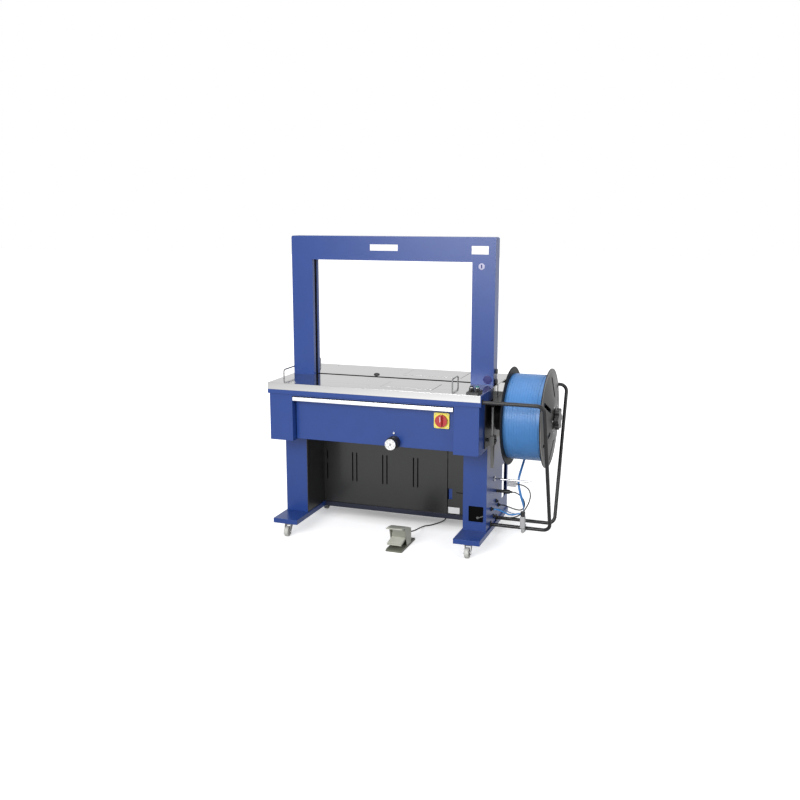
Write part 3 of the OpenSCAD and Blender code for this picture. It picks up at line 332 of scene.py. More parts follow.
@dataclass
class Shaper:
    """Collects the shapes of one piece and makes it an object that rides on a CAD body."""

    name: str
    finishes: Sequence[Finish]
    body: str = "frame"
    bm: bmesh.types.BMesh = field(default_factory=bmesh.new)
    sharp: ClassVar[float] = 35.0
    screw_head: ClassVar[Spots] = ((0, 0), (1, 0), (0.98, 0.45), (0.8, 0.9), (0.625, 1), (0.5, 1),
                                            (0.45, 0.35), (0, 0.3))

    def paint(self, before: set[bmesh.types.BMFace], finish: int) -> None:
        """Gives every face that is not in a set a finish, by its number."""
        for face in set(self.bm.faces) - before:
            face.material_index, face.smooth = finish, True

    def round_edges(self, edges: Iterable[bmesh.types.BMEdge], width: float, segments: int) -> None:
        """Rounds edges by a width in millimetres."""
        if width > 0:
            bmesh.ops.bevel(self.bm, geom=list(edges), offset=width * MM, segments=segments, profile=0.5,
                            affect="EDGES", material=-1, clamp_overlap=True)

    def block(self, low: Point, high: Point, bevel: float = 0.5, finish: int = 0,
              turn: Matrix = Matrix.Identity(4)) -> None:
        """Adds a box with rounded edges.

        Args:
            low: Lowest corner in machine millimetres.
            high: Highest corner.
            bevel: Edge rounding in millimetres.
            finish: Number of the finish.
            turn: Rotation about the box's own middle.
        """
        before = set(self.bm.faces)
        size = (Vector(high) - Vector(low)) * MM
        matrix = Matrix.Translation((at(*low) + at(*high)) / 2) @ turn @ Matrix.Diagonal((*size, 1))
        made = bmesh.ops.create_cube(self.bm, size=1, matrix=matrix)
        self.round_edges({e for v in made["verts"] for e in v.link_edges}, bevel, 3)
        self.paint(before, finish)

    def rod(self, axis: Axis, base: Point, radius: float, length: float, bevel: float = 0.4,
            finish: int = 0, sides: int = 32, top: float | None = None) -> None:
        """Adds a cylinder, prism or cone that starts at base and runs along the axis.

        Args:
            axis: Direction of the rod.
            base: Middle of its first end.
            radius: Radius at the first end.
            length: Length along the axis.
            bevel: Rounding of the two rims.
            finish: Number of the finish.
            sides: Number of sides.
            top: Radius at the far end, if it differs.
        """
        before = set(self.bm.faces)
        far = radius if top is None else top
        matrix = Matrix.Translation(at(*base)) @ axis.turn() @ Matrix.Translation((0, 0, length * MM / 2))
        made = bmesh.ops.create_cone(self.bm, cap_ends=True, cap_tris=False, segments=sides, matrix=matrix,
                                     radius1=radius * MM, radius2=far * MM, depth=length * MM)
        faces = {f for v in made["verts"] for f in v.link_faces}
        self.round_edges({e for f in faces if len(f.verts) == sides for e in f.edges}, bevel, 2)
        self.paint(before, finish)

    def lathe(self, axis: Axis, centre: Point, profile: Spots, finish: int = 0, steps: int = 48,
              closed: bool = True) -> None:
        """Turns a profile of (radius, place along the axis) pairs about the axis.

        Args:
            axis: Axis of the turned shape.
            centre: Point on the axis from which the places count.
            profile: The profile's corners.
            finish: Number of the finish.
            steps: Steps of the full turn.
            closed: Whether the profile is a closed ring.
        """
        before = set(self.bm.faces)
        frame = Matrix.Translation(at(*centre)) @ axis.turn()
        verts = [self.bm.verts.new(frame @ Vector((r * MM, 0, h * MM))) for r, h in profile]
        pairs = list(zip(verts, verts[1:])) + ([(verts[-1], verts[0])] if closed else [])
        edges = [self.bm.edges.new(pair) for pair in pairs]
        direction = (frame.to_3x3() @ Vector((0, 0, 1))).normalized()
        bmesh.ops.spin(self.bm, geom=verts + edges, cent=frame.translation, axis=direction, dvec=(0, 0, 0),
                       angle=2 * pi, steps=steps, use_merge=True, use_duplicate=False)
        bmesh.ops.remove_doubles(self.bm, verts=self.bm.verts[:], dist=1e-7)
        self.paint(before, finish)

    def dome(self, axis: Axis, base: Point, radius: float, height: float, finish: int = 0) -> None:
        """Adds a round cap on a seat; a negative height points it the other way."""
        swell = [(radius * c, height * s) for c, s in circle(24)[:6]]
        self.lathe(axis, base, [(TIP, 0), *swell, (TIP, height)], finish, 32, closed=False)

    def torus(self, axis: Axis, centre: Point, radius: float, thick: float, steps: int) -> None:
        """Adds a ring, by the radius of its centre line and that of its section."""
        section = [(radius + thick * c, thick * s) for c, s in circle(10)]
        self.lathe(axis, centre, section, 0, steps)

    def screw(self, axis: Axis, base: Point, radius: float, height: float, finish: int = 0) -> None:
        """Adds a domed screw head with a socket; a negative height points it the other way."""
        profile = [(max(TIP, radius * r), height * h) for r, h in self.screw_head]
        self.lathe(axis, base, profile, finish, 24, closed=False)

    def sweep(self, rings: Rings) -> None:
        """Joins rings of points to a closed tube, with a UV map that runs round and along it in metres.

        Args:
            rings: Rings with the same number of points, in metres in the CAD frame.
        """
        along = self.bm.loops.layers.uv.verify()
        loops = [[self.bm.verts.new(p) for p in ring] for ring in rings]
        count = len(loops[0])
        round_way = [0.0]
        for k in range(count):
            round_way.append(round_way[-1] + (rings[0][(k + 1) % count] - rings[0][k]).length)
        way = 0.0
        for low, high in zip(loops, loops[1:]):
            step = (high[0].co - low[0].co).length
            for k in range(count):
                face = self.bm.faces.new((low[k], low[(k + 1) % count], high[(k + 1) % count], high[k]))
                places = ((k, way), (k + 1, way), (k + 1, way + step), (k, way + step))
                for corner, (u, v) in zip(face.loops, places):
                    corner[along].uv = (round_way[u], v)
            way += step
        self.bm.faces.new(loops[0][::-1])
        self.bm.faces.new(loops[-1])
        self.paint(set(), 0)

    def object(self, *stands_for: str, slot: str = "") -> bpy.types.Object:
        """Makes the object.

        Args:
            *stands_for: CAD nodes that it is shown instead of.
            slot: A material slot of the record; not used.

        Returns:
            The object, riding on its body.
        """
        bmesh.ops.recalc_face_normals(self.bm, faces=self.bm.faces[:])
        mesh = bpy.data.meshes.new(self.name)
        self.bm.to_mesh(mesh)
        self.bm.free()
        if mesh.uv_layers:
            mesh.uv_layers[0].name = "along"
        for finish in self.finishes:
            mesh.materials.append(finish.material())
        mesh.set_sharp_from_angle(angle=radians(self.sharp))
        piece = put(self.name, mesh)
        piece.modifiers.new("even_normals", "WEIGHTED_NORMAL").keep_sharp = True
        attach(piece, self.body)
        if stands_for:
            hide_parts(*stands_for)
        slot = slot or self.finishes[0].slot
        LOG.info("%s rides on %s", self.name, self.body)
        return piece


def smooth_route(points: Points, steps: int) -> list[Vector]:
    """Runs a smooth line through points.

    Args:
        points: Points in machine millimetres.
        steps: Number of steps between two points.

    Returns:
        The line's points, in metres in the CAD frame.
    """
    p = [at(*q) for q in points]
    line: list[Vector] = []
    for i in range(len(p) - 1):
        a, b, c, d = p[max(i - 1, 0)], p[i], p[i + 1], p[min(i + 2, len(p) - 1)]
        for k in range(steps):
            t = k / steps
            bend = (2 * a - 5 * b + 4 * c - d) * t**2 + (3 * b - a - 3 * c + d) * t**3
            line.append(0.5 * (2 * b + (c - a) * t + bend))
    return line + [p[-1]]


def headings(line: Sequence[Vector]) -> list[Vector]:
    """Returns the unit direction of a line at each of its points."""
    last = len(line) - 1
    return [(line[min(i + 1, last)] - line[max(i - 1, 0)]).normalized() for i in range(last + 1)]


def strap_outline(width: float, thick: float) -> list[Spot]:
    """Returns the section of a flat strap with thin edges, in metres, from its size in millimetres."""
    w, t = width / 2 * MM, thick / 2 * MM
    return [(w, 0), (w - 2 * t, t), (2 * t - w, t), (-w, 0), (2 * t - w, -t), (w - 2 * t, -t)]


@dataclass
class Cord:
    """A free round cord between two fittings."""

    node: str
    route: Points
    width: float
    finish: Finish
    stiffness: str = "medium"
    lay: str = "loose"
    steps: int = 6
    sides: ClassVar[int] = 14
    first_across: ClassVar[Point] = (0.31, 0.83, 0.47)

    def build(self) -> None:
        line = smooth_route(self.route, self.steps)
        shape = Shaper(f"{self.node}_look", [self.finish])
        shape.sweep(self._rings(line))
        shape.object(self.node)

    def _rings(self, line: Sequence[Vector]) -> Rings:
        """Puts the cord's section at each point of its line.

        Args:
            line: The line's points.

        Returns:
            The sections.
        """
        u = Vector(self.first_across)
        section = circle(self.sides)
        rings = []
        for point, way in zip(line, headings(line)):
            u = (u - u.dot(way) * way).normalized()
            v = way.cross(u)
            rings.append([point + self.width / 2 * MM * (c * u + s * v) for c, s in section])
        return rings


@dataclass
class FreeStrap(Cord):
    """The flat strap, which turns on its way by an angle for each point of its route."""

    thick: float = 1.0
    turns: Sequence[float] = (0, 0, 0, 0, 0, 0, 15, 45, 75, 90, 90, 90, 90, 90, 90, 90)

    def _rings(self, line: Sequence[Vector]) -> Rings:
        """Puts the strap's section at each point of its line.

        Args:
            line: The line's points.

        Returns:
            The sections.
        """
        outline = strap_outline(self.width, self.thick)
        rings = []
        for i, (point, way) in enumerate(zip(line, headings(line))):
            k, part = divmod(i, self.steps)
            after = self.turns[min(k + 1, len(self.turns) - 1)]
            turn = radians(self.turns[k] + (after - self.turns[k]) * part / self.steps)
            across = Vector((cos(turn), sin(turn), 0))
            u = (across - across.dot(way) * way).normalized()
            v = way.cross(u)
            rings.append([point + x * u + y * v for x, y in outline])
        return rings


@dataclass
class Cords:
    """All free cords of the machine, on the same routes as their CAD nodes."""

    pedal: Points = (
        (146, -161, 56), (146, -154, 56), (146, -147, 56), (148, -110, 47), (146, -60, 36), (145, -20, 29),
        (139, 40, 16), (134, 80, 6), (142, 108, 4), (158, 124, 4), (174, 142, 4), (203, 199, 4),
        (216, 236, 8), (222, 256, 26), (223, 267, 54), (223, 268, 79), (223, 268, 86))
    sensor: Points = (
        (660, 0, 318), (676, -1, 317), (702, -4, 312), (726, -8, 296), (735, -12, 270), (732, -20, 240),
        (720, -30, 210), (698, -36, 178), (664, -30, 154), (620, -16, 142), (578, -5, 140), (567, -5, 140),
        (558, -5, 140))
    power: Points = (
        (625, 60, 255), (633, 60, 255), (643, 60, 254), (664, 58, 245), (684, 56, 226), (693, 56, 202),
        (688, 60, 178), (668, 68, 162), (636, 80, 160), (600, 90, 166), (578, 95, 170), (567, 95, 170),
        (558, 95, 170))
    air: Points = (
        (703, -85, 192.5), (696, -85, 192), (684, -85, 189), (664, -83, 182), (640, -76, 180),
        (609, -61, 185), (578, -50, 190), (567, -50, 190), (558, -50, 190))
    strap: Points = (
        (693, 159.111, 525.355), (688, 118, 478), (680, 66, 418), (672, 24, 366), (669, 8, 335),
        (672, 6, 305), (682, 6, 262), (694, 8, 220), (698, 12, 190), (688, 18, 164), (664, 24, 152),
        (630, 30, 154), (600, 34, 161), (574, 35, 165), (553, 35, 165), (535, 35, 165))

    def build(self) -> None:
        """Makes every cord."""
        Cord("pedal_cable", self.pedal, 7.0, RUBBER).build()
        Cord("sensor_cable", self.sensor, 6.0, RUBBER).build()
        Cord("power_lead", self.power, 6.0, RUBBER).build()
        Cord("air_tube", self.air, 8.0, HOSE).build()
        FreeStrap("strap_run", self.strap, 12.0, STRAP, "stiff", "taut", 8).build()


@dataclass
class TableDress:
    """What lies on the table: hatch plates, a slot lip in painted-shade black, screws and a plug."""

    hatches: Sequence[Patch] = ((30, -252, 292, -98), (19, 112, 334, 292))
    hatch_h: float = 0.8
    seam: Spot = (2.4, 0.15)
    lip: Point = (2.0, 2.4, 424.0)
    screws: Spots = ((-96, -98), (-37, -255), (288, -259), (-47, 267), (-420, -280), (-420, 280))
    screw: Spot = (5.0, 1.2)
    plug: Spot = (-116, 73)
    plug_size: Spot = (16.0, 9.0)

    def build(self) -> None:
        """Makes these pieces."""
        top = Box.of("table_front").high.z
        seam, seam_h = self.seam
        shape = Shaper("table_hatches", [STEEL, BLACK])
        for x0, y0, x1, y1 in self.hatches:
            shape.block((x0 - seam, y0 - seam, top), (x1 + seam, y1 + seam, top + seam_h), 0.05, 1)
            shape.block((x0, y0, top), (x1, y1, top + self.hatch_h), 0.3)
        shape.object()
        thick, rise, reach = self.lip
        edge = Box.of("table_rear").low.y
        # Painted shade: the lip is near-black, so that the strap slot beside it reads as a dark gap.
        lip = Shaper("slot_lip", [PAINTED_SHADE_BLACK])
        lip.block((-reach, edge - 0.4, top - 12), (reach, edge + thick, top + rise), 0.3)
        lip.object()
        heads = Shaper("table_screws", [TURNED])
        for x, y in self.screws:
            heads.screw(Axis.Z, (x, y, top), *self.screw)
        heads.object()
        plug = Shaper("table_plug", [RUBBER])
        plug.dome(Axis.Z, (*self.plug, top), *self.plug_size)
        plug.object()


@dataclass
class ArchDress:
    """Blank plates, lock and screws on the arch, and a dark indigo dome on its right column."""

    plates: Sequence[Patch] = ((-107, 1469, 41, 1500), (421, 1458, 506, 1498))
    plate_t: float = 0.8
    lock: Spot = (472, 1400)
    lock_profile: Spots = ((TIP, 0), (16, 0), (16, -1.0), (14, -2.4), (TIP, -2.4))
    keyhole: Patch = (3.2, 9.0, 2.7, 2.3)
    screws: Spots = (*((x, z) for x in (-483, 483) for z in (880, 1090, 1300, 1500)),
                              *((x, 1500) for x in (-240, 0, 240)))
    screw: Spot = (4.5, 1.8)
    plug: Spot = (511, 847)
    plug_size: Spot = (22.0, -2.0)

    def build(self) -> None:
        """Makes these pieces."""
        front, rear = Box.of("arch_front").low.y, Box.of("arch_rear").high.y
        plates = Shaper("arch_plates", [WHITE])
        for x0, z0, x1, z1 in self.plates:
            plates.block((x0, front - self.plate_t, z0), (x1, front, z1), 0.3)
        plates.object()
        x, z = self.lock
        wide, tall, outer, inner = self.keyhole
        lock = Shaper("arch_lock", [LOCK, INDIGO])
        lock.lathe(Axis.Y, (x, front, z), self.lock_profile, 0, 48, closed=False)
        lock.block((x - wide, front - outer, z - tall), (x + wide, front - inner, z + tall), 0.1, 1)
        lock.object()
        heads = Shaper("arch_screws", [TURNED])
        for x, z in self.screws:
            heads.screw(Axis.Y, (x, rear, z), *self.screw)
        heads.object()
        # A dark indigo dome on the right column's front.
        x, z = self.plug
        plug = Shaper("column_dark_dome", [INDIGO])
        plug.dome(Axis.Y, (x, front, z), *self.plug_size)
        plug.object()


@dataclass
class FlapDress:
    """Gauge dial and glass, handle caps, stud and switch mark on the front flap."""

    ticks: int = 31
    tick_step: float = 9.0
    first_tick: float = 225.0
    long_tick: Spot = (19.5, 2.2)
    short_tick: Spot = (20.6, 1.1)
    tick_half: Spot = (0.07, 0.3)
    tick_y: float = 3.65
    dial: Point = (3.7, 23.8, 0.3)
    rim: Spots = ((24.0, 1.6), (24.0, 0.6), (24.6, 0.1), (26.4, 0.1), (27.1, 0.8), (27.1, 6.0),
                           (26.9, 6.0), (26.9, 1.6))
    glass: Point = (0.5, 23.9, 0.6)
    barrel: Spots = ((27.0, 5.0), (27.4, 5.0), (27.4, 21.0), (27.0, 21.0))
    stud: Spot = (5, 9)
    stud_up: float = 46.0
    mark: tuple[Point, Point] = ((-1.3, -0.3, -2), (1.3, 0.2, 24))
    switch_screws: Spots = ((-31, -31), (-31, 31), (31, -31), (31, 31))
    switch_screw: Spot = (3.0, -1.0)

    def build(self) -> None:
        """Makes these pieces."""
        self._gauge()
        handle, face = Box.of("flap_handle"), Box.of("front_flap").low.y
        low, high = handle.low, handle.high
        caps = Shaper("handle_caps", [PLASTIC], "flap")
        for x in (low.x, high.x):
            caps.block((x - 1, low.y + 0.5, low.z + 0.5), (x + 1, face - 0.5, high.z - 0.5), 0.4)
        caps.object()
        knob = Box.of("switch_knob")
        tip = Vector((knob.mid.x, knob.low.y, knob.mid.z))
        mark = Shaper("switch_mark", [WHITE], "switch")
        mark.block(*(tip + Vector(corner) for corner in self.mark), 0.1)
        mark.object()
        plate = Box.of("switch_plate")
        screws = Shaper("switch_screws", [TURNED], "flap")
        for x, z in self.switch_screws:
            screws.screw(Axis.Y, (plate.mid.x + x, plate.low.y, plate.mid.z + z), *self.switch_screw)
        screws.object()

    def _gauge(self) -> None:
        """Makes the gauge's dial, scale, rim, glass and barrel, and the stud above it."""
        gauge = Box.of("pressure_gauge")
        x, front, z = gauge.mid.x, gauge.low.y, gauge.mid.z
        dial = Shaper("gauge_dial", [WHITE, PLASTIC, TURNED], "flap")
        inset, radius, thick = self.dial
        dial.rod(Axis.Y, (x, front + inset, z), radius, thick, 0.05, 0, 48)
        for k in range(self.ticks):
            angle = radians(self.first_tick - self.tick_step * k)
            middle, reach = self.long_tick if k % 5 == 0 else self.short_tick
            spot = Vector((x + middle * cos(angle), front + self.tick_y, z + middle * sin(angle)))
            half = Vector((reach, *self.tick_half))
            dial.block(spot - half, spot + half, 0, 1, Matrix.Rotation(-angle, 4, "Y"))
        dial.lathe(Axis.Y, (x, front, z), self.rim, 2)
        dial.object()
        inset, radius, thick = self.glass
        glass = Shaper("gauge_glass", [GLASS], "flap")
        glass.rod(Axis.Y, (x, front + inset, z), radius, thick, 0.1)
        glass.object()
        barrel = Shaper("gauge_barrel", [PLASTIC], "flap")
        barrel.lathe(Axis.Y, (x, front, z), self.barrel)
        barrel.object()
        radius, length = self.stud
        face = Box.of("front_flap").low.y
        stud = Shaper("flap_stud", [CHROME], "flap")
        stud.rod(Axis.Y, (x, face - length, z + self.stud_up), radius, length, 1.0)
        stud.object()


@dataclass
class CoverDress:
    """Door plate and finger cup, painted shade behind the vents and in the right leg's port."""

    plate: Patch = (284, 104, 346, 138)
    plate_t: float = 0.8
    sheet: float = 3.0
    notch: Patch = (282, 176, 309, 242)
    cup: Spot = (12.0, 1.2)
    vents: Spot = (205, 405)
    port: Patch = (450, 143, 534, 231)
    shade_tray: Point = (5.0, 5.2, 1.5)
    nut: Point = (500, 168, 2.0)
    nut_size: Spot = (7.0, 7.2)
    grip: Patch = (500, 170, 530, 175.5)
    grip_t: float = 2.5
    grip_lean: float = -24.0

    def build(self) -> None:
        """Makes these pieces."""
        front = Box.of("magazine_door").mid.y - self.sheet / 2
        x0, z0, x1, z1 = self.plate
        plate = Shaper("door_plate", [WHITE], "door")
        plate.block((x0, front - self.plate_t, z0), (x1, front, z1), 0.3)
        plate.object()
        self._cup()
        cover, box = Box.of("lower_cover"), Box.of("strap_magazine")
        low, high = self.vents
        # Painted shade: a near-black sheet between the cover and the magazine, so the vents look dark inside.
        shade_sheet = Shaper("vent_painted_shade", [PAINTED_SHADE_BLACK])
        shade_sheet.block((box.low.x + 1, cover.high.y + 0.3, low), (cover.high.x - 1, box.low.y - 0.3, high), 0.1)
        shade_sheet.object(slot=BLACK.slot)
        self._port()

    def _cup(self) -> None:
        """Makes the cup behind the door's notch."""
        back = Box.of("magazine_door").mid.y + self.sheet / 2
        x0, z0, x1, z1 = self.notch
        depth, wall = self.cup
        cup = Shaper("finger_cup", [BLUE], "door")
        cup.block((x0, back + depth, z0), (x1, back + depth + wall, z1), 0.4)
        cup.block((x1 - wall, back, z0), (x1, back + depth, z1), 0.3)
        for z in (z0, z1 - wall):
            cup.block((x0, back, z), (x1 - wall, back + depth, z + wall), 0.3)
        cup.object()

    def _port(self) -> None:
        """Makes a painted-shade tray in the leg's port, for the shade of its deep hole, and the fitting."""
        inner = Box.of("right_leg").low.y + self.sheet
        x0, z0, x1, z1 = self.port
        # Painted shade: the tray's back and walls are near-black; the nut and the leaning grip are grey
        # fittings.
        depth, side, wall = self.shade_tray
        shade_tray = Shaper("leg_port", [PAINTED_SHADE_BLACK, LEVER])
        shade_tray.block((x0, inner + depth, z0), (x1, inner + depth + wall, z1), 0.3)
        for a, c, b, d in ((x0, z0, x0 + wall, z1), (x1 - wall, z0, x1, z1), (x0, z0, x1, z0 + wall),
                           (x0, z1 - wall, x1, z1)):
            shade_tray.block((a, inner, c), (b, inner + side, d), 0.2)
        x, z, out = self.nut
        shade_tray.rod(Axis.Y, (x, inner - out, z), *self.nut_size, 0.6, 1, 6)
        x0, z0, x1, z1 = self.grip
        lean = Matrix.Rotation(radians(self.grip_lean), 4, "Y")
        shade_tray.block((x0, inner - self.grip_t, z0), (x1, inner, z1), 0.8, 1, lean)
        shade_tray.object()


@dataclass
class ReelDress:
    """The wound strap's upper layer, with a flange bead and screws."""

    width: float = 12.0
    thick: float = 1.0
    pitch: float = 12.7
    turns: int = 12
    rings: int = 96
    bead: float = 2.5
    bead_in: float = 2.6
    screws: int = 6
    screw_ring: float = 68.0
    screw: Spot = (5, 2.2)

    def build(self) -> None:
        """Makes these pieces."""
        self._winding()
        flange = Box.of("outer_flange")
        hub = flange.mid
        shape = Shaper("flange_beads", [FLANGE, TURNED], "reel")
        middle = (flange.low.x + self.bead, hub.y, hub.z)
        shape.torus(Axis.X, middle, flange.high.y - self.bead_in, self.bead, self.rings)
        for c, s in circle(self.screws):
            seat = (flange.high.x, self.screw_ring * c, hub.z + self.screw_ring * s)
            shape.screw(Axis.X, seat, *self.screw, 1)
        shape.object()

    def _winding(self) -> None:
        """Makes the upper layer as one unbroken helix of flat strap."""
        coil, wound = Box.of("strap_coil"), Box.of("strap_winding")
        start = coil.mid.x - self.turns * self.pitch / 2
        radius = (wound.high.z - wound.low.z - self.thick) / 2
        outline = strap_outline(self.width, self.thick)
        rings = []
        for k in range(self.turns * self.rings + 1):
            a = 2 * pi * k / self.rings
            out = Vector((0, -cos(a), sin(a)))
            middle = at(start + self.pitch * k / self.rings, coil.mid.y, coil.mid.z) + radius * MM * out
            rings.append([middle + Vector((x, 0, 0)) + y * out for x, y in outline])
        shape = Shaper("strap_winding_look", [STRAP], "reel")
        shape.sweep(rings)
        shape.object("strap_winding")


@dataclass
class FrameDress:
    """Seats of the reel's tubes, nuts of the glands and the guide block with its screws."""

    lower: Spot = (58.0, 112.0)
    lower_seat: Spot = (17, 4)
    upper: Spot = (300.0, 785.0)
    upper_seat: Spot = (14, 3)
    glands: Spots = ((-5, 140), (95, 170), (-50, 190), (50, 204))
    gland_nut: Spot = (11.0, 4.5)
    guide_low: Point = (69.6, -12.4, -0.4)
    guide_high: Point = (114.6, 12.4, 28.4)
    guide_screws: Points = ((80, -12.4, 14), (104, -12.4, 14))
    guide_screw: Spot = (3.5, -1.6)

    def build(self) -> None:
        """Makes these pieces."""
        side, housing = Box.of("right_leg").high.x, Box.of("housing")
        seats = Shaper("tube_seats", [BLACK])
        y, z = self.lower
        for sign in (-1, 1):
            seats.rod(Axis.X, (side, sign * y, z), *self.lower_seat, 0.6)
        y, z = self.upper
        for x, sign in ((housing.high.x, -1), (-housing.low.x, 1)):
            seats.rod(Axis.X, (x, sign * y, z), *self.upper_seat, 0.6)
        seats.object()
        nuts = Shaper("gland_nuts", [PLASTIC])
        for y, z in self.glands:
            nuts.rod(Axis.X, (side + 0.1, y, z), *self.gland_nut, 0.5, 0, 6)
        nuts.object()
        foot = Vector((side, 0, Box.of("strap_guide").low.z))
        guide = Shaper("guide_block", [GUIDE, TURNED])
        guide.block(foot + Vector(self.guide_low), foot + Vector(self.guide_high), 1.5)
        for seat in self.guide_screws:
            guide.screw(Axis.Y, foot + Vector(seat), *self.guide_screw, 1)
        guide.object()


@dataclass
class CasterDress:
    """Nuts on the caster axles and rings round the swivels."""

    nut: Spot = (6.0, 3.5)
    nut_in: float = 17.0
    trail: float = 20.0
    ring: Spot = (20.6, 1.8)
    ring_drop: float = 4.5

    def build(self) -> None:
        """Makes these pieces."""
        radius, height = self.nut
        for corner in CORNERS:
            fork, wheel = Box.of(f"caster_fork_{corner}"), Box.of(f"caster_wheel_{corner}").mid
            shape = Shaper(f"caster_nuts_{corner}", [TURNED], f"fork_{corner}")
            for start in (wheel.x + self.nut_in, wheel.x - self.nut_in - height):
                shape.rod(Axis.X, (start, wheel.y, wheel.z), radius, height, 0.4, 0, 6)
            swivel = (wheel.x, wheel.y + self.trail, fork.high.z - self.ring_drop)
            shape.torus(Axis.Z, swivel, *self.ring, 40)
            shape.object()


@dataclass
class PedalDress:
    """Ribs, pivot bosses, screws and gland nut of the foot pedal."""

    slope: Patch = (-307, 41, -242, 56)
    ribs: int = 8
    rib: Point = (2.2, 1.0, 1.6)
    rib_in: float = 3.0
    pivot: Spot = (-205, 40)
    boss: Spot = (7, 1.8)
    screws: Spots = ((-190, 22), (-226, 22), (-186, 74))
    screw: Spot = (3.2, 1.4)
    cable: Spot = (146, 56)
    cable_nut: Spot = (8, 4)

    def build(self) -> None:
        """Makes these pieces."""
        tread, hood = Box.of("pedal_treadle"), Box.of("pedal_hood")
        x0, x1 = tread.low.x + self.rib_in, tread.high.x - self.rib_in
        y0, z0, y1, z1 = self.slope
        half, below, above = self.rib
        lean = Matrix.Rotation(atan2(z1 - z0, y1 - y0), 4, "X")
        ribs = Shaper("treadle_ribs", [PALE_RIB], "treadle")
        for k in range(self.ribs):
            part = (k + 0.7) / (self.ribs + 0.4)
            y, z = y0 + (y1 - y0) * part, z0 + (z1 - z0) * part
            ribs.block((x0, y - half, z - below), (x1, y + half, z + above), 0.7, 0, lean)
        ribs.object()
        fittings = Shaper("pedal_fittings", [TURNED, PEDAL, PLASTIC])
        (boss_r, boss_h), (screw_r, screw_h) = self.boss, self.screw
        for x, way in ((hood.high.x, 1), (hood.low.x, -1)):
            fittings.dome(Axis.X, (x, *self.pivot), boss_r, boss_h * way, 1)
            for y, z in self.screws:
                fittings.screw(Axis.X, (x, y, z), screw_r, screw_h * way)
        x, z = self.cable
        fittings.rod(Axis.Y, (x, hood.high.y, z), *self.cable_nut, 0.5, 2, 6)
        fittings.object()


@dataclass
class ConsoleDress:
    """Collars round the console's push buttons and lenses on its lamps."""

    collar: Spots = ((9.6, 0), (11.8, 0), (11.4, 1.6), (9.9, 2.2), (9.6, 1.8))
    lamp: Spot = (18.0, 20.0)
    lens: Spot = (5.6, 3.0)

    def build(self) -> None:
        """Makes these pieces."""
        console = Box.of("console")
        y, z = console.low.y + self.lamp[0], console.low.z + self.lamp[1]
        collars = Shaper("button_collars", [TURNED])
        lenses = Shaper("console_lenses", [PLASTIC])
        for button in ("reset_button", "start_button"):
            spot = Box.of(button).mid
            collars.lathe(Axis.Z, (spot.x, spot.y, console.high.z), self.collar, 0, 32)
            lenses.dome(Axis.Z, (spot.x, y, z), *self.lens)
        collars.object()
        lenses.object()


@dataclass
class AirUnit:
    """The air filter on the front tube, shown instead of its plain CAD block."""

    tube: Spot = (-58.0, 112.0)
    clamp: Spot = (10.0, 16.0)
    bowl_h: float = 28.0
    bowl: Point = (2, 7, 9)
    drain: Spot = (3, 5)
    cap_h: float = 25.0
    knurls: int = 16
    knurl: Point = (11, 1.0, 9)
    knurl_in: float = 1.4
    inlet: Spot = (6.2, 3.5)

    def build(self) -> None:
        """Makes clamp, body, bowl, drain, knurled cap and tube fitting."""
        unit = Box.of("air_filter")
        x, half = unit.mid.x, (unit.high.x - unit.low.x) / 2
        y, top, low = unit.low.y + half, unit.high.z, unit.low.z
        cap = top - self.cap_h
        shape = Shaper("air_filter_look", [GUIDE, PLASTIC, BOWL, BRASS])
        (ty, tz), (cx, cr) = self.tube, self.clamp
        shape.block((x - cx, ty - cr, tz - cr), (x + cx, ty + cr, tz + cr), 1.5)
        shape.block((x - half, y - half, low + self.bowl_h - 1), (x + half, y + half, cap), 3.0)
        rise, narrow, wide = self.bowl
        shape.rod(Axis.Z, (x, y, low + rise), narrow, self.bowl_h, 1.5, 2, 32, wide)
        shape.rod(Axis.Z, (x, y, low), *self.drain, 0.5, 3, 6)
        shape.rod(Axis.Z, (x, y, cap - 0.5), half - 1.2, self.cap_h + 0.5, 1.5, 1, 24)
        down, radius, length = self.knurl
        ring = half - self.knurl_in
        for c, s in circle(self.knurls):
            shape.rod(Axis.Z, (x + ring * c, y + ring * s, top - down), radius, length, 0, 1, 6)
        shape.rod(Axis.X, (unit.low.x, y, top - self.cap_h / 2), *self.inlet, 0.6, 1, 24)
        shape.object("air_filter")


@dataclass
class HeadDress:
    """Cooling fins and terminal box of the drive motor, and hubs of the rollers."""

    fins: int = 12
    fin_start: float = 142.0
    fin_pitch: float = 11.0
    fin: Spot = (51, 4)
    box: tuple[Point, Point] = ((-128, -30, 50), (-58, 30, 75))
    rollers: Sequence[tuple[str, str, float]] = (("feed_wheel", "feed", 27.0), ("pinch_wheel", "pinch", 13.0))
    bore: float = 9.0
    hub_screws: int = 4

    def build(self) -> None:
        """Makes these pieces."""
        motor = Box.of("gear_motor")
        end = Vector((motor.high.x, motor.mid.y, motor.mid.z))
        shape = Shaper("motor_fins", [CAST, PLASTIC])
        for k in range(self.fins):
            x = end.x - self.fin_start + self.fin_pitch * k
            shape.rod(Axis.X, (x, end.y, end.z), *self.fin, 0.4, 0, 48)
        shape.block(*(end + Vector(corner) for corner in self.box), 2.0, 1)
        shape.object()
        bore = self.bore
        for node, body, radius in self.rollers:
            wheel = Box.of(node)
            x, y, z = wheel.low.x, wheel.mid.y, wheel.mid.z
            hub = Shaper(f"{node}_hub", [TURNED], body)
            profile = [(bore, 0.2), (radius, 0.2), (radius, -0.6), (radius - 1, -1.0), (bore, -1.0)]
            hub.lathe(Axis.X, (x, y, z), profile, 0, 40)
            ring = (bore + radius) / 2
            for c, s in circle(self.hub_screws, 45):
                hub.screw(Axis.X, (x - 1.0, y + ring * c, z + ring * s), (radius - bore) / 5, -1.0)
            hub.object()


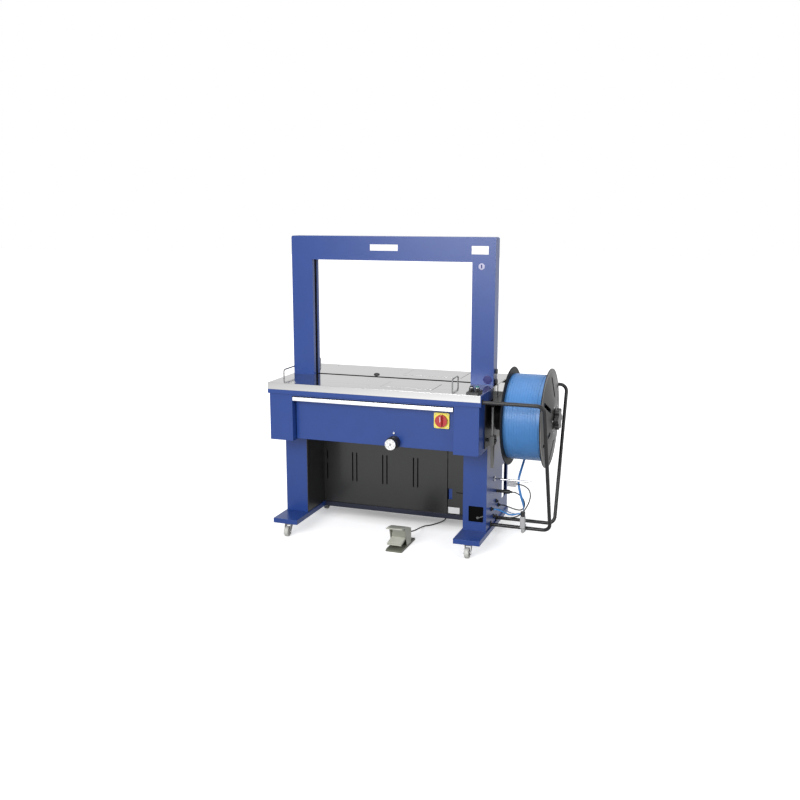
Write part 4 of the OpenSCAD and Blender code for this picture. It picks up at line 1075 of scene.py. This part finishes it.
@dataclass
class RoundedEdges:
    """Sheet-metal nodes shown with the small edge rounding of folded and coated sheet."""

    width: float = 0.9
    shortest: float = 18.0
    sharpest: float = 50.0
    merge: float = 0.002
    flat: float = 0.2
    nodes: Sequence[str] = (
        "left_foot", "right_foot", "left_leg", "right_leg", "housing", "arch_front", "arch_rear",
        "front_flap", "bottom_rail", "lower_cover", "table_front", "table_rear", "pedal_hood", "pedal_base",
        "pedal_treadle", "brake_lever")

    def build(self, frame: dict) -> None:
        """Makes a rounded copy of every node.
        """
        record = frame["record"]
        parts = {part["node"]: part for part in record["subparts"]}
        bodies = {name: body for body, names in record["behaviour"]["bodies"].items() for name in names}
        for name in self.nodes:
            shape = Shaper(f"{name}_look", [finish_of(parts[name])], bodies[name])
            bm = shape.bm
            bm.from_mesh(frame["nodes"][name].data)
            bmesh.ops.remove_doubles(bm, verts=bm.verts[:], dist=self.merge * MM)
            bmesh.ops.dissolve_limit(bm, angle_limit=radians(self.flat), verts=bm.verts[:],
                                     edges=bm.edges[:])
            shape.round_edges(self._sharp(bm), self.width, 3)
            shape.paint(set(), 0)
            shape.object(name)

    def _sharp(self, bm: bmesh.types.BMesh) -> list[bmesh.types.BMEdge]:
        """Returns the long outer edges of a merged mesh."""
        least = radians(self.sharpest)
        return [e for e in bm.edges if e.is_manifold and e.is_convex and e.calc_face_angle() > least
                and e.calc_length() > self.shortest * MM]


@dataclass
class Stage:
    """Camera, light and floor of the studio picture."""

    eye: Point = (1657.27, -4555.93, 1660.97)
    pitch: float = 78.84
    yaw: float = 19.55
    lens: float = 42.98
    ambient: float = 0.34
    mirror: float = 0.86
    floor_mirror: float = 0.18
    floor_tones: Spot = (0.42, 0.92)
    floor_roughness: float = 0.9
    floor_half: float = 30.0
    floor_z: float = -0.0005
    # Painted shadow: floor emission follows glow by nearness to shade_mid and is least there, behind the
    # machine, which darkens a pool round the real cast shadow.
    shade_mid: Point = (0, 380, 0)
    shade_reach: Point = (5400, 1980, 1000)
    glow: Spots = ((0.0, 1.0), (0.5, 0.50), (0.83, 0.58), (0.92, 0.18))
    lights: Sequence[tuple[str, Point, Point, float, float]] = (
        ("front", (-400, -4600, 2300), (0, 0, 800), 2600, 182),
        ("right", (4300, -1500, 2500), (300, 0, 700), 2600, 62),
        ("top", (200, 100, 4300), (0, 0, 800), 3000, 70))

    def build(self) -> None:
        """Sets camera, world, lights and floor."""
        scene = bpy.context.scene
        data = bpy.data.cameras.new("camera")
        data.lens = self.lens
        camera = put("camera", data)
        camera.location = at(*self.eye)
        camera.rotation_euler = (radians(self.pitch), 0, radians(self.yaw))
        scene.camera = camera
        scene.view_settings.view_transform = "Standard"
        self._world()
        for name, place, aim, size, power in self.lights:
            lamp = bpy.data.lights.new(name, "AREA")
            lamp.shape, lamp.size, lamp.energy = "SQUARE", size * MM, power
            light = put(name, lamp)
            light.location = at(*place)
            light.rotation_euler = (at(*aim) - at(*place)).to_track_quat("-Z", "Y").to_euler()
        self._floor()

    @staticmethod
    def _seen(graph: Graph, mirror: float) -> Socket:
        """Tells rays apart: 1 for camera and glass, less for mirrors and 0 for light that bounces.

        Args:
            graph: Nodes to add to.
            mirror: Share for mirror rays.

        Returns:
            The socket with that share.
        """
        glossy = graph.add("LightPath", "Is Glossy Ray", {})
        seen = graph.add("Math", "Value", {0: glossy, 1: mirror}, operation="MULTIPLY")
        for ray in ("Is Camera Ray", "Is Transmission Ray"):
            seen = graph.add("Math", "Value", {0: seen, 1: glossy.node.outputs[ray]}, operation="MAXIMUM")
        return seen

    def _world(self) -> None:
        """Makes a world that looks white and lights softly."""
        world = bpy.data.worlds.new("studio")
        world.use_nodes = True
        graph = Graph(world.node_tree)
        seen = self._seen(graph, self.mirror)
        level = graph.add("MapRange", "Result", {"Value": seen, "To Min": self.ambient})
        graph.feed("Background", {"Color": (1, 1, 1, 1), "Strength": level})
        bpy.context.scene.world = world

    def _floor(self) -> None:
        """Makes a wide floor, white away from the machine, that keeps its shadow and has a painted shadow
        pool.
        """
        material = bpy.data.materials.new("white_floor")
        material.use_nodes = True
        graph = Graph(material.node_tree)
        dark, pale = ((tone, tone, tone, 1) for tone in self.floor_tones)
        seen = self._seen(graph, self.floor_mirror)
        tone = graph.add("Mix", "Result", {"Factor": seen, "A": dark, "B": pale}, data_type="RGBA")
        scale = Vector(1 / (reach * MM) for reach in self.shade_reach)
        place = graph.add("TexCoord", "Object", {})
        place = graph.add("Mapping", "Vector", {"Vector": place, "Scale": scale,
                                                "Location": -at(*self.shade_mid) * scale})
        # Painted shadow: nearness to shade_mid sets how much the floor's emission is cut.
        near = graph.add("TexGradient", "Fac", {"Vector": place}, gradient_type="SPHERICAL")
        glow = graph.add("ValToRGB", "Color", {"Fac": near})
        stops = glow.node.color_ramp.elements
        while len(stops) < len(self.glow):
            stops.new(0.5)
        for stop, (nearness, level) in zip(stops, self.glow):
            stop.position, stop.color = nearness, (level, level, level, 1)
        strength = graph.add("Math", "Value", {0: glow, 1: self._seen(graph, self.mirror)},
                             operation="MULTIPLY")
        graph.feed("Principled BSDF", {
            "Base Color": tone, "Roughness": self.floor_roughness, "Specular IOR Level": 0.0,
            "Emission Color": (1, 1, 1, 1), "Emission Strength": strength})
        bm = bmesh.new()
        bmesh.ops.create_grid(bm, x_segments=1, y_segments=1, size=self.floor_half)
        mesh = bpy.data.meshes.new("floor")
        bm.to_mesh(mesh)
        bm.free()
        mesh.materials.append(material)
        floor = put("floor", mesh)
        floor.location.z = self.floor_z


def dress_nodes(frame: dict) -> None:
    """Gives every CAD node its finish.
    """
    for part in frame["record"]["subparts"]:
        materials = frame["nodes"][part["node"]].data.materials
        materials.clear()
        materials.append(finish_of(part).material())


def main() -> None:
    """Builds the whole scene."""
    logging.basicConfig(level=logging.INFO, format="%(name)s: %(message)s")
    for item in list(bpy.data.objects):
        bpy.data.objects.remove(item)
    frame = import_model()
    Machine.locate()
    Stage().build()
    Cords().build()
    dress_nodes(frame)
    RoundedEdges().build(frame)
    for dress in (TableDress, ArchDress, FlapDress, CoverDress, ReelDress, FrameDress, CasterDress,
                  PedalDress, ConsoleDress, AirUnit, HeadDress):
        dress().build()


if __name__ == "__main__":
    main()
